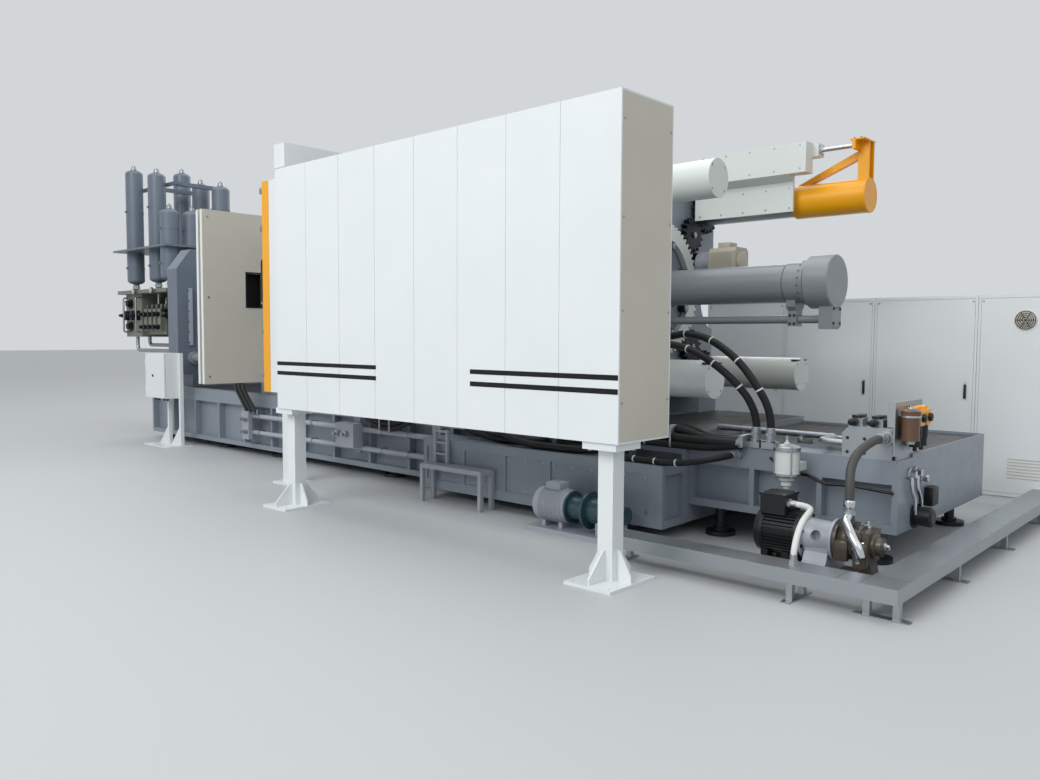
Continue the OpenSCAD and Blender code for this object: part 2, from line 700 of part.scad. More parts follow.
module puller_housing() color("#DFE3DF") {
  z0 = tie_top - 113;
  y_in = tie_y - 250;
  top = tie_top + housing_h;
  back = housing_y0 + 150;
  x1 = housing_x0 + 110;
  across(housing_x0, housing_x1 - 170) polygon([[y_in, z0], [y_in + 25, z0],
    [y_in + 25, tie_top + 215], [housing_y0, tie_top + 215], [y_in, tie_top + 163]]);
  box([x1, housing_y0, tie_top + 215], [housing_x1, back, top]);
  box([rear_x0 + 60, housing_y0, platen_z1], [x1, back + 130, max(platen_z1, tie_top + 215) + 60]);
  difference() {
    union() {
      xrod(x1, housing_x1, rod_y, rod_z, 100);
      for (x = [x1, housing_x1 - 90]) box([x, back, rod_z - 58], [x + 140, rod_y + 62, rod_z + 58]);
    }
    xrod(x1 + 30, housing_x1 + 60, rod_y, rod_z, puller_rod_d + 2 * fit_gap);
  }
}

module puller_carriage() color("#F2A900") {
  difference() {
    xrod(puller_x0, puller_x1, tie_y, tie_top, puller_d);
    xrod(puller_x0 - 1, puller_x1 - 40, tie_y, tie_top, tie_d + 12);
  }
  for (y = [tie_y - 60, tie_y + 44]) box([puller_x1 - 100, y, tie_top + puller_d / 2 - 20],
    [puller_x1, y + 16, tie_top + bracket_h - 12]);
  box([puller_x1 - 62, tie_y - 60, tie_top + puller_d / 2 - 4],
    [puller_x1 - 46, tie_y + 60, tie_top + bracket_h - 12]);
  box([puller_x1 - 130, tie_y - 180, tie_top + bracket_h - 12],
    [puller_x1, tie_y + 80, tie_top + bracket_h]);
  along(tie_y - 30, tie_y + 30) polygon([[puller_x1 - 685, tie_top + puller_d / 2 - 5],
    [puller_x1 - 560, tie_top + puller_d / 2 - 5], [puller_x1 - 60, tie_top + 350],
    [puller_x1 - 60, tie_top + 425]]);
  box([puller_x1 - 110, rod_y - 30, rod_z - 30], [puller_x1 - 80, tie_y - 50, tie_top + bracket_h - 12]);
}

module puller_rod() color("#D0D4D8")
  xrod(housing_x1 + 50 - stroke_out - 150, puller_x1 - 110, rod_y, rod_z, puller_rod_d);

module guard_box() color("#EDF0F0") difference() {
  box([guard_x, -guard_y, guard_z], [guard_x1, guard_y1, guard_z1]);
  for (i = [1 : 7]) box([guard_x + guard_l * i / 8 - 3, -guard_y - 1, guard_z - 1],
    [guard_x + guard_l * i / 8 + 3, -guard_y + 4, guard_z1 + 1]);
}

module guard_post(x) color("#E3E7E8") {
  cap_z = guard_z - 50;
  box([x - post_w / 2, post_y - post_w / 2, 20], [x + post_w / 2, post_y + post_w / 2, cap_z]);
  box([x - 135, post_y - 135, cap_z], [x + 135, post_y + 135, guard_z]);
  difference() {
    box([x - plate_w / 2, post_y - plate_l / 2, 0], [x + plate_w / 2, post_y + plate_l / 2, 20]);
    for (i = [-1, 1]) for (j = [-1, 1])
      zrod(-1, 21, x + i * anchor_w / 2, post_y + j * anchor_l / 2, anchor_d);
  }
  along(post_y - 6, post_y + 6) for (s = [-1, 1]) polygon([[x + s * post_w / 2, 20],
    [x + s * (plate_w / 2 - 20), 20], [x + s * (plate_w / 2 - 20), 60],
    [x + s * (post_w / 2 + 20), 220], [x + s * post_w / 2, 220]]);
  across(x - 6, x + 6) for (s = [-1, 1]) polygon([[post_y + s * post_w / 2, 20],
    [post_y + s * (plate_l / 2 - 20), 20], [post_y + s * (plate_l / 2 - 20), 60],
    [post_y + s * (post_w / 2 + 20), 220], [post_y + s * post_w / 2, 220]]);
}
module guard_posts() for (x = [post_xl, post_xr]) guard_post(x);

module safety_door() color("#E8ECEC")
  box([door_x, door_y0, door_z], [door_x1, door_y1, door_z + door_h]);

module door_fittings() {
  color("#F2A900") box([door_x, door_y0 - 4, door_z], [door_x + edge_w, door_y0, door_z + door_h]);
  y = (door_y0 + door_y1) / 2;
  z = door_z + door_h / 2 + 70;
  color("#20242A") {
    for (s = [-1, 1]) box([door_x - handle_x, y - 14, z + s * (handle_h / 2 - 14) - 14],
      [door_x, y + 14, z + s * (handle_h / 2 - 14) + 14]);
    box([door_x - handle_x, y - 14, z - handle_h / 2 + 28],
      [door_x - handle_x + 28, y + 14, z + handle_h / 2 - 28]);
  }
  color("#3B4046") for (x = [door_x1 - 1300, door_x1 - 100]) {
    yrod(door_y1, rail_y0, x, rail_z1 + roller_d / 2 + 0.3, 40);
    yrod(rail_y0, rail_y0 + rail_t, x, rail_z1 + roller_d / 2 + 0.3, roller_d);
  }
}

module door_rail() color("#AEB6BC") {
  box([rail_x0, rail_y0, rail_z1 - rail_h], [rail_x1, rail_y0 + rail_t, rail_z1]);
  box([rail_x1 - 140, guard_y1, rail_z1 - rail_h], [rail_x1, rail_y0, rail_z1]);
  box([gantry_x - 60, rail_y0 + rail_t, rail_z1 - rail_h], [gantry_x + 60, -gantry_y1, rail_z1]);
}

module side_wall(s) {
  y0 = platen_w / 2;
  mirror([0, s < 0 ? 1 : 0, 0]) difference() {
    box([wall_x0, y0, platen_z0], [wall_x1, wall_y, platen_z0 + wall_h]);
    box([wall_x0 + 50, wall_y - 40, platen_z0 - 1], [wall_x1 - 50, wall_y + 1, platen_z0 + wall_h + 1]);
    if (s < 0) box([wall_x1 - 90, y0 + 170, axis_z - 110],
      [wall_x1 + 1, y0 + 170 + window_w, axis_z - 110 + window_h]);
  }
}
module front_side_wall() color("#D3D0C7") side_wall(-1);
module rear_side_wall() color("#D3D0C7") side_wall(1);

module rear_guard() color("#E3E7E8") {
  box([wall_x0, wall_y, platen_z0], [2900, wall_y + 60, platen_z0 + wall_h]);
  box([2760, wall_y - 120, 20], [2900, wall_y, platen_z0 + wall_h]);
  box([2680, wall_y - 200, 0], [2980, wall_y + 10, 20]);
  for (z = [1300, 2800]) box([gantry_x - 40, gantry_y1, z], [gantry_x + 40, wall_y, z + 60]);
}

module gantry() color("#DDE1E2") {
  x0 = gantry_x - gantry_w / 2;
  box([x0, -gantry_y1 - 45, gantry_z], [x0 + gantry_w, gantry_y1 + 45, gantry_z + gantry_h]);
  for (s = [-1, 1]) {
    y = s * (gantry_y1 - gantry_post / 2);
    box([gantry_x - gantry_post / 2, y - gantry_post / 2, 20],
      [gantry_x + gantry_post / 2, y + gantry_post / 2, gantry_z]);
    box([gantry_x - 150, y - 150, 0], [gantry_x + 150, y + (s < 0 ? 150 : 150), 20]);
  }
}

module shot_frame() color("#6B7783") {
  difference() {
    across(cframe_x0, cframe_x1) difference() {
      polygon([[-850, base_top], [850, base_top], [850, platen_z0], [1070, platen_z0 + 60],
        [1070, 2610], [850, 2910], [-850, 2910], [-1070, 2610], [-1070, platen_z0 + 60],
        [-850, platen_z0]]);
      translate([-330, shot_z - 330]) square([660, 660]);
    }
    for (s = [-1, 1]) {
      for (p = [low_rod, high_rod])
        xrod(cframe_x0 - 1, cframe_x1 + 1, s * p[0], p[1], shot_rod_d + 2 * fit_gap);
    }
  }
  for (s = [-1, 1]) box([cframe_x1, s * 870 - 25, 1460], [cframe_x1 + 40, s * 870 + 25, 2320]);
}

module shot_rods() color("#A7AFB6") for (s = [-1, 1]) for (p = [low_rod, high_rod]) {
  x1 = fixed_x0 - (p == low_rod ? nut_l + 60 : 0);
  xrod(cframe_x0 - 100, x1, s * p[0], p[1], shot_rod_d);
  for (x = [cframe_x0 - 60, cframe_x1, x1 - 60]) xrod(x, x + 60, s * p[0], p[1], shot_rod_d + 60);
}

module shot_cylinder() color("#7B8792") {
  xrod(cframe_x0 - shot_flange_t, cframe_x0, 0, shot_z, 900);
  xrod(shot_tube_x0, cframe_x0 - shot_flange_t, 0, shot_z, shot_d);
  box([shot_end_x0 + 300, -300, shot_z - 300], [shot_tube_x0, 300, shot_z + 300]);
  xrod(shot_end_x0, shot_end_x0 + 300, 0, shot_z, 380);
  xrod(cframe_x0, cframe_x1 + 500, 0, shot_z, plunger_d);
  xrod(cframe_x1 + 500, cframe_x1 + 640, 0, shot_z, plunger_d + 60);
}

module shot_manifold() color("#8E8F7C") {
  box([shot_end_x0 + 300, -760, shot_z - 420], [shot_tube_x0, -300, shot_z + 300]);
  box([shot_tube_x0 + 60, -700, shot_z - 380], [shot_tube_x0 + 760, -shot_d / 2, shot_z + 120]);
  box([shot_end_x0 + 200, -860, shot_z + 300], [-4960, 430, bank_z - 120]);
  for (i = [0 : 3]) box([shot_tube_x0 + 120 + 165 * i, -780, shot_z - 320],
    [shot_tube_x0 + 230 + 165 * i, -700, shot_z + 40]);
  for (z = [shot_z - 260, shot_z - 60, shot_z + 140])
    xrod(shot_end_x0 + 180, shot_end_x0 + 300, -560, z, 130);
  // Floor columns under the back of the shelf.
  for (x = [-6320, -5560]) {
    box([x - 50, 325, 10], [x + 50, 425, shot_z + 310]);
    box([x - 130, 245, 0], [x + 130, 505, 15]);
    for (m = [-1, 1]) across(x - 6, x + 6) polygon([[375 + m * 45, 14], [375 + m * 110, 14],
      [375 + m * 45, 140]]);
  }
}

// Bottle along Z with a domed top and a rounded foot.
module bottle(x, y, z0, h, d) translate([x, y, z0]) {
  r = d / 2;
  rotate_extrude() union() {
    translate([0, r / 2]) square([r, h - r]);
    intersection() {
      translate([0, r / 2]) scale([1, 0.5]) circle(r);
      translate([0, -1]) square([r, h]);
    }
    intersection() {
      translate([0, h - r / 2]) scale([1, 0.5]) circle(r);
      translate([0, 1]) square([r, h]);
    }
  }
  translate([0, 0, h - 2]) cylinder(d = d / 4, h = 60);
  translate([0, 0, -120]) cylinder(d = d / 3, h = 122);
}

module piston_accumulators() color("#5F6E7D") {
  bottle(tall_x[0], bank_y, bank_z, tall_h + 160, tall_d);
  bottle(tall_x[1], bank_y, bank_z, tall_h + 10, tall_d);
}

module gas_bottles() color("#667585") {
  for (p = short_at) bottle(p[0], p[1], bank_z, short_h, bottle_d);
  for (i = [0 : 2]) bottle(back_at[i][0], back_at[i][1], bank_z, tall_h + [230, -40, -160][i], bottle_d);
}

// Shelf, back frame and top tie of the bottle bank.
module bottle_rack() color("#5A6672") {
  difference() {
    box([tall_x[0] - 230, -890, 3020], [-4930, 460, 3050]);
    for (x = tall_x) zrod(3019, 3051, x, bank_y, tall_d + 1);
    for (p = concat(short_at, back_at)) zrod(3019, 3051, p[0], p[1], bottle_d + 1);
  }
  for (x = [-6320, -5560]) {
    box([x - 45, 340, bank_z - 120], [x + 45, 430, 3020]);
    box([x - 45, 340, 3050], [x + 45, 430, 4150]);
    box([x - 45, -400, 4090], [x + 45, 340, 4150]);
  }
  box([-6820, -430, 4090], [-5400, -400, 4150]);
}

// Hinge of the control box: its axis, and the knuckles on the box (0) and on the door (1).
hinge_x = ctrl_x - ctrl_w / 2 - 12;
hinge_y = ctrl_y - 16;
hinge_r = 9;
module knuckles(side) for (z = [ctrl_z + 90, ctrl_z + ctrl_h - 170]) {
  z0 = z + side * 40.3;
  zrod(z0, z0 + 40, hinge_x, hinge_y, 2 * hinge_r);
  if (side == 0) box([hinge_x - hinge_r, hinge_y, z0], [hinge_x + 12, ctrl_y + 30, z0 + 40]);
  if (side == 1) box([hinge_x, hinge_y - hinge_r, z0], [hinge_x + 20, hinge_y - 2, z0 + 40]);
}

module control_box() color("#DFE4E0") {
  box([ctrl_x - ctrl_w / 2, ctrl_y, ctrl_z], [ctrl_x + ctrl_w / 2, ctrl_y + ctrl_d, ctrl_z + ctrl_h]);
  knuckles(0);
  control_stand();
}

module control_box_door() color("#E8ECE8") {
  box([ctrl_x - ctrl_w / 2 + 4, ctrl_y - 25, ctrl_z + 5],
    [ctrl_x + ctrl_w / 2 - 4, ctrl_y - 5, ctrl_z + ctrl_h - 5]);
  knuckles(1);
  color("#3B4046") yrod(ctrl_y - 33, ctrl_y - 25, ctrl_x - 40, ctrl_z + ctrl_h / 2, 30);
}

module control_stand() {
  box([ctrl_x - ctrl_w / 2 - 60, ctrl_y - 40, 0], [ctrl_x + ctrl_w / 2 + 60, ctrl_y + ctrl_d + 130, 15]);
  for (x = [ctrl_x - 60, ctrl_x + ctrl_w / 2 + 2])
    box([x, ctrl_y + ctrl_d - 50, 15], [x + 50, ctrl_y + ctrl_d, x > ctrl_x ? ctrl_z + ctrl_h : ctrl_z]);
  along(ctrl_y + ctrl_d - 36, ctrl_y + ctrl_d - 24) polygon([[ctrl_x - 60, 15],
    [ctrl_x - 60, 300], [ctrl_x - ctrl_w / 2 - 40, 15]]);
  along(ctrl_y + ctrl_d - 36, ctrl_y + ctrl_d - 24) polygon([[ctrl_x + 20, 15],
    [ctrl_x + ctrl_w / 2, 15], [ctrl_x + ctrl_w / 2, 300]]);
}

module base_pipes() color("#9AA4AC") {
  y = -base_w / 2 - 60;
  for (z = [545, 330]) xrod(-2140, 1800, y, z, 60);
  for (x = [-2100, 300, 1660])
    box([x, y + 30, 270], [x + 120, -base_w / 2, base_top - band_h + 40]);
  box([-2000, y - 90, 240], [-1840, y - 30, 610]);
  box([200, y - 160, 350], [540, y - 30, 620]);
}

module pump_motor() color("#22262B") {
  r = motor_d / 2;
  fins = 36;
  turned(pump_x, pump_y, pump_z, [[0, r - 40], [10, r - 12], [45, r - 6], [70, r - 6]]);
  across(pump_x + 70, pump_x + motor_l - 35) translate([pump_y, pump_z])
    polygon([for (i = [0 : fins - 1]) for (k = [[0, r - 16], [0.2, r - 2], [0.45, r - 2], [0.65, r - 16]])
      k[1] * [cos(360 * (i + k[0]) / fins), sin(360 * (i + k[0]) / fins)]]);
  turned(pump_x + motor_l - 35, pump_y, pump_z, [[0, r - 4], [35, r - 4]]);
  box([pump_x + 40, pump_y - 110, pump_z + r - 30], [pump_x + 220, pump_y + 90, pump_z + r + 95]);
  box([pump_x + 34, pump_y - 116, pump_z + r + 95], [pump_x + 226, pump_y + 96, pump_z + r + 110]);
  for (s = [-1, 1]) for (x = [pump_x + 75, pump_x + 225])
    box([x, pump_y + s * 120 - 40, 55], [x + 50, pump_y + s * 120 + 40, pump_z - 105]);
}

// Cast bracket between motor and pump, with a window over the coupling.
module bell_housing() color("#B9BCC6") difference() {
  x0 = pump_x + motor_l;
  union() {
    turned(x0, pump_y, pump_z, [[0, 158], [18, 158], [18, 122], [200, 112], [200, 140], [218, 140]]);
    across(x0 + 30, x0 + 190) translate([pump_y, 0]) polygon([[-185, 55], [185, 55], [180, 85],
      [128, 130], [104, 190], [104, 250], [-104, 250], [-104, 190], [-128, 130], [-180, 85]]);
  }
  yrod(pump_y - 190, pump_y - 60, x0 + 110, pump_z + 30, 70);
}

module pump_set() color("#8A7462") {
  x1 = pump_x + motor_l + 218;
  turned(x1, pump_y, pump_z, [[0, 128], [24, 128], [24, 100], [60, 112], [130, 112], [140, 96],
    [150, 96], [150, 120], [172, 120], [172, 88], [250, 82], [262, 60], [290, 60]]);
  box([x1 + 150, pump_y - 110, pump_z - 110], [x1 + 235, pump_y + 110, pump_z + 96]);
  box([pump_feed_x - 55, pump_y - 62, pump_z + 60], [pump_feed_x + 55, pump_y + 62, pump_z + 130]);
  turned_up(pump_feed_x, pump_y, pump_z + 125, [[0, 48], [12, 48], [18, 36], [40, 36], [55, 30]]);
  box([x1 - 248, pump_y - 200, 0], [x1 + 300, pump_y + 200, 55]);
  box([pump_x - 20, pump_y - 200, 0], [x1 - 248, pump_y + 200, 55]);
  along(pump_y - 60, pump_y + 60) polygon([[x1 + 140, 55], [x1 + 250, 55], [x1 + 232, pump_z - 100],
    [x1 + 155, pump_z - 100]]);
}

// Turned form along Z; the profile is a list of [height, radius].
module turned_up(x, y, z, profile) translate([x, y, z]) rotate_extrude()
  polygon(concat([[0, profile[0][0]]], [for (p = profile) [p[1], p[0]]],
    [[0, profile[len(profile) - 1][0]]]));

module oil_filter() color("#E6E9E6") {
  y = -tail_w / 2 - filter_d / 2 - 110;
  r = filter_d / 2;
  z = 605;
  turned_up(filter_x, y, z - 85, [[0, 22], [20, 22], [20, 38], [45, 38], [50, 26], [60, 26],
    [60, 56], [85, 56]]);
  turned_up(filter_x, y, z, [[0, r - 14], [12, r], [24, r], [24, r - 8], [filter_h - 50, r - 8],
    [filter_h - 50, r], [filter_h - 26, r], [filter_h - 12, r - 22], [filter_h - 6, 22],
    [filter_h + 6, 22], [filter_h + 6, 9], [filter_h + 34, 9]]);
  difference() {
    box([filter_x - 60, y, 640], [filter_x + 60, -tail_w / 2, 700]);
    zrod(600, 701, filter_x, y, filter_d - 18);
  }
}

module valve_manifold() color("#B9C0C2") {
  y0 = -tail_w / 2;
  along(y0, y0 + 220) polygon([[5960, tail_top], [6310, tail_top], [6310, 985], [6010, 985],
    [5960, 935]]);
  turned_y(6262, y0, 920, [[0, 62], [22, 62], [22, 44], [60, 44]]);
  for (x = [5985, 6125]) for (k = [0, 1]) box([x, y0 + 40 + 100 * k, 985], [x + 105, y0 + 110 + 100 * k, 1040]);
  for (x = [5990, 6130]) yrod(y0 + 20, y0 + 200, x + 45, 1015, 44);
  for (x = hose_x) {
    box([x - 52, y0 - 20, tail_top], [x + 52, y0 + 90, 812]);
    turned_up(x, -1020, 812, [[0, 44], [14, 44], [14, 36], [36, 36], [36, 40], [48, 40]]);
  }
}

// Turned form towards -Y; the profile is a list of [distance, radius].
module turned_y(x, y, z, profile) translate([x, y, z]) rotate([90, 0, 0]) rotate_extrude()
  polygon(concat([[0, profile[0][0]]], [for (p = profile) [p[1], p[0]]],
    [[0, profile[len(profile) - 1][0]]]));

// Folded plate on the end of the base with the return filter and two solenoid valves.
module filter_panel() color("#9EA7AC") {
  y0 = -tail_w / 2 - 50;
  x = base_x1 - 26;
  box([x, -tail_w / 2 + 12, tail_top], [x + 12, -560, 1170]);
  box([x - 40, y0, 1000], [x, y0 + 12, 1170]);
  box([x, y0, 800], [x + 12, -tail_w / 2 + 12, 1170]);
  color("#7A5A44") {
    turned_up(x + 80, -1000, 885, [[0, 30], [24, 30], [24, 58], [185, 58], [185, 64], [225, 64],
      [240, 40]]);
    box([x + 12, -1030, 1075], [x + 60, -970, 1120]);
  }
  color("#F2A900") for (i = [0, 1]) {
    box([x + 12, -890 + 130 * i, 1000], [x + 110, -800 + 130 * i, 1110]);
    zrod(850, 1000, x + 62, -845 + 130 * i, 70);
  }
}

// Lubrication pump with its motor, on a skid beside the tank.
module lube_unit() color("#2F8C93") {
  y = tank_y - 244;
  box([3640, y - 140, 0], [4620, y + 140, 40]);
  turned(3680, y, 220, [[0, 100], [20, 136], [70, 140], [300, 140], [310, 124], [340, 124]]);
  box([3790, y - 60, 350], [3930, y + 60, 410]);
  color("#C8CDCE") turned(4020, y, 220, [[0, 130], [18, 130], [18, 96], [90, 90], [180, 96],
    [180, 150], [205, 150], [205, 104], [420, 100], [430, 76], [540, 70]]);
  for (x = [3740, 3920, 4300, 4480]) box([x, y - 60, 40], [x + 40, y + 60, 150]);
}

module step_frame() color("#B4BBBF") {
  y = tank_y - 184;
  for (x = [2050, 2850]) for (dy = [0, 144]) box([x, y + dy, 0], [x + 40, y + dy + 40, 330]);
  difference() {
    box([2050, y, 330], [2890, tank_y, 370]);
    for (i = [0 : 15]) box([2080 + i * 50, y + 20, 329], [2110 + i * 50, tank_y - 20, 371]);
  }
  for (x = [2090, 2260]) box([x, tank_y - 40, 370], [x + 30, tank_y - 10, 700]);
  for (z = [450, 560, 670]) box([2120, tank_y - 35, z], [2260, tank_y - 15, z + 20]);
}

// U-shaped stand of the tray, with a foot plate across it.
module tray_stand(x, y, w, turn) translate([x, y, 0]) rotate(turn) {
  box([-30, -w / 2 - 50, 0], [30, w / 2 + 50, 8]);
  for (s = [-1, 1]) box([-20, s * (w / 2 - 25) - 20, 8], [20, s * (w / 2 - 25) + 20, tray_z]);
}

module cable_tray() color("#A9B2B8") {
  z1 = tray_z + tray_h;
  x_in = tray_x1 - tray_w;
  difference() {
    union() {
      box([tray_x0, tray_y, tray_z], [tray_x1, tray_y + tray_w, z1]);
      box([x_in, tray_y + tray_w, tray_z], [tray_x1, cabinet_y, z1]);
    }
    for (x = [tray_x0 + 700, tray_x0 + 1700, x_in - 3])
      box([x, tray_y - 1, z1 - 3], [x + 3, tray_y + tray_w + 1, z1 + 1]);
    for (y = [tray_y + tray_w, -900, 300, 1400]) box([x_in - 1, y, z1 - 3], [tray_x1 + 1, y + 3, z1 + 1]);
  }
  for (x = [tray_x0 + 110, 6120]) tray_stand(x, tray_y + tray_w / 2, tray_w, 0);
  for (y = [tray_y + 80, -1000, 200, 1400]) tray_stand(tray_x1 - tray_w / 2, y, tray_w, 90);
}

// Cabinet on a plinth, a double door with handles on each bay.
module cabinet() color("#E9ECEA") {
  box([cabinet_x0 + 20, cabinet_y + 20, 0], [cabinet_x1 - 20, cabinet_y + cabinet_d - 20, 100]);
  difference() {
    box([cabinet_x0, cabinet_y, 100], [cabinet_x1, cabinet_y + cabinet_d, cabinet_h]);
    for (i = [1 : bays - 1]) box([cabinet_x0 + i * bay_w - 3, cabinet_y - 1, 99],
      [cabinet_x0 + i * bay_w + 3, cabinet_y + 12, cabinet_h + 1]);
    for (i = [0 : bays - 1]) translate([cabinet_x0 + i * bay_w, cabinet_y, 0]) {
      for (x = [24, bay_w - 28]) box([x, -1, 130], [x + 4, 8, cabinet_h - 30]);
      for (z = [130, cabinet_h - 34]) box([24, -1, z], [bay_w - 24, 8, z + 4]);
      box([bay_w - 110, -1, 1000], [bay_w - 80, 6, 1180]);
    }
  }
}

module pressure_hose() color("#1C1E21") tube(pressure_route, hose_d);
module return_hose() color("#1C1E21") tube(return_route, hose_d);
module loop_hose() color("#1C1E21") tube(loop_route, loop_d);
module suction_hose() color("#1C1E21") tube(suction_route, hose_d);
module motor_conduit() color("#E2E4E2") tube(conduit_route, conduit_d);

base_frame();
side_tank();
levelling_feet();
stationary_platen();
moving_platen();
rear_platen();
tie_bars();
tie_bar_covers();
rear_links();
front_links();
crosshead();
guide_rods();
ring_gear();
adjusting_gears();
clamp_cylinder();
cylinder_pipe();
puller_housing();
puller_carriage();
puller_rod();
guard_box();
guard_posts();
safety_door();
door_fittings();
door_rail();
front_side_wall();
rear_side_wall();
rear_guard();
gantry();
shot_frame();
shot_rods();
shot_cylinder();
shot_manifold();
piston_accumulators();
gas_bottles();
bottle_rack();
control_box();
control_box_door();
base_pipes();
pump_motor();
bell_housing();
pump_set();
oil_filter();
valve_manifold();
filter_panel();
lube_unit();
step_frame();
cable_tray();
cabinet();
pressure_hose();
return_hose();
loop_hose();
suction_hose();
motor_conduit();
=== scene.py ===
# Die casting machine: finishes, hoses, fasteners and trim round the solids of the frame.
# Everything is in metres, with X from the shot end to the clamp end and Z up.
import math

import bmesh
import bpy
from mathutils import Matrix, Vector


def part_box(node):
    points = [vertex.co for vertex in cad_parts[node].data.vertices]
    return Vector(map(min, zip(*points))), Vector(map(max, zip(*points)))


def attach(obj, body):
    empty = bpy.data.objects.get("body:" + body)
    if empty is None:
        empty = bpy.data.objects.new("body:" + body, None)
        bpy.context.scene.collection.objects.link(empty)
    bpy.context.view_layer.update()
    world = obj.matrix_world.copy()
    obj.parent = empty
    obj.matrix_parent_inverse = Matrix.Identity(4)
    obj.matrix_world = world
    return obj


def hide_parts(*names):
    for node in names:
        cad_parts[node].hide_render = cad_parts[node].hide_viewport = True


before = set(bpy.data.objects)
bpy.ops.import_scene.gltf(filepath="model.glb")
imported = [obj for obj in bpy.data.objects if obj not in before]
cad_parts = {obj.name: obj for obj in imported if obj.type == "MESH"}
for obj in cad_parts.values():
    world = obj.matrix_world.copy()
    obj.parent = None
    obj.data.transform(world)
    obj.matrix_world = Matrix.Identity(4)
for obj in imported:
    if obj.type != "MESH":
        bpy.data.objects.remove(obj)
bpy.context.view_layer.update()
scene = bpy.context.scene
scene.view_settings.view_transform = "Standard"
print("frame loaded:", len(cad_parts), "nodes")

axes = {"x": (1, 0, 0), "y": (0, 1, 0), "z": (0, 0, 1), "-x": (-1, 0, 0), "-y": (0, -1, 0),
    "-z": (0, 0, -1)}
finish = {}  # every material by its name


def hexColour(code):
    parts = [int(code[i:i + 2], 16) / 255 for i in (1, 3, 5)]
    return [c / 12.92 if c <= 0.04045 else ((c + 0.055) / 1.055) ** 2.4 for c in parts] + [1.0]


def addNode(tree, kind, settings=None, links=None):
    node = tree.nodes.new(kind)
    for key, value in (settings or {}).items():
        if isinstance(key, int) or key in node.inputs:
            node.inputs[key].default_value = value
        else:
            setattr(node, key, value)
    for key, source in (links or {}).items():
        tree.links.new(source, node.inputs[key])
    return node


def meshPiece(name, finishName, build, smooth=None, body="frame"):
    mesh = bpy.data.meshes.new(name)
    bm = bmesh.new()
    build(bm)
    bmesh.ops.recalc_face_normals(bm, faces=bm.faces)
    bm.to_mesh(mesh)
    bm.free()
    mesh.materials.append(finish[finishName])
    piece = bpy.data.objects.new(name, mesh)
    scene.collection.objects.link(piece)
    if smooth is not None:
        mesh.shade_smooth()
        mesh.set_sharp_from_angle(angle=math.radians(smooth))
    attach(piece, body)
    return piece


def partsPiece(name, look, body="frame"):  # look: its finish, and its parts as (function, sizes)
    def build(bm):
        for make, *sizes in look["parts"]:
            make(bm, *sizes)
    meshPiece(name, look["finish"], build, look.get("smooth", 35), body)


def toward(direction):  # an axis by its name, or a direction as it is
    return Vector(axes[direction] if isinstance(direction, str) else direction)


def turnTo(direction):
    turn = Vector((0, 0, 1)).rotation_difference(toward(direction).normalized())
    return turn.to_matrix().to_4x4()


def addBox(bm, low, high, bevel=0.0):
    low, high = Vector(low), Vector(high)
    made = bmesh.ops.create_cube(bm, size=1.0)
    for v in made["verts"]:
        v.co = Vector([(low[i] + high[i]) / 2 + v.co[i] * (high[i] - low[i]) for i in range(3)])
    if bevel:
        edges = list({e for v in made["verts"] for e in v.link_edges})
        bmesh.ops.bevel(bm, geom=edges, offset=bevel, segments=2, affect="EDGES", profile=0.5)


def pointRound(radius, angle, along=0.0):  # a point round the Z axis
    return Vector((radius * math.cos(angle), radius * math.sin(angle), along))


def addRing(bm, place, radius, sides, along=0.0):
    return [bm.verts.new(place @ pointRound(radius, 2 * math.pi * k / sides, along))
        for k in range(sides)]


def joinRings(bm, a, b):  # a ring of one point is a pole
    sides = max(len(a), len(b))
    for k in range(sides):
        n = (k + 1) % sides
        if len(a) == 1:
            bm.faces.new([a[0], b[n], b[k]])
        elif len(b) == 1:
            bm.faces.new([a[k], a[n], b[0]])
        else:
            bm.faces.new([a[k], a[n], b[n], b[k]])


def closeEnds(bm, rings):
    if len(rings[0]) > 1:
        bm.faces.new(rings[0][::-1])
    if len(rings[-1]) > 1:
        bm.faces.new(rings[-1])


def addTurned(bm, start, direction, profile, sides=32):  # profile: way along the axis, radius
    place = Matrix.Translation(Vector(start)) @ turnTo(direction)
    rings = []
    for along, radius in profile:
        if radius < 1e-6:
            rings.append([bm.verts.new(place @ Vector((0, 0, along)))])
        else:
            rings.append(addRing(bm, place, radius, sides, along))
    for a, b in zip(rings, rings[1:]):
        joinRings(bm, a, b)
    closeEnds(bm, rings)


def disc(radius, end):  # the profiles that come again and again
    return [(0, radius), (end, radius)]


def capped(radius, edge, top, end):  # a disc with its rim broken
    return [(0, radius), (edge, radius), (end, top)]


def stepped(radius, edge, neck, start, end):  # a disc with a neck on it
    return [(0, radius), (edge, radius), (start, neck), (end, neck)]


def band(inner, outer, end):  # a ring round something
    return [(0, inner), (0, outer), (end, outer), (end, inner)]


def addPipe(bm, points, radius, sides=12):  # round pipe along a polyline, its bends rounded off
    path = [Vector(p) for p in points]
    route = [path[0]]
    for a, b, c in zip(path, path[1:], path[2:]):
        cut = min((b - a).length / 2, (c - b).length / 2, 3 * radius)
        p, q = b + (a - b).normalized() * cut, b + (c - b).normalized() * cut
        route += [p.lerp(b, t).lerp(b.lerp(q, t), t) for t in (0, 0.25, 0.5, 0.75, 1)]
    route.append(path[-1])
    side = (route[1] - route[0]).normalized().orthogonal().normalized()
    rings = []
    for i, p in enumerate(route):
        ahead = (route[min(i + 1, len(route) - 1)] - route[max(i - 1, 0)]).normalized()
        side = (side - ahead * side.dot(ahead)).normalized()
        other = ahead.cross(side)
        place = Matrix.Translation(p) @ Matrix((side, other, ahead)).transposed().to_4x4()
        rings.append(addRing(bm, place, radius, sides))
    for a, b in zip(rings, rings[1:]):
        joinRings(bm, a, b)
    closeEnds(bm, rings)


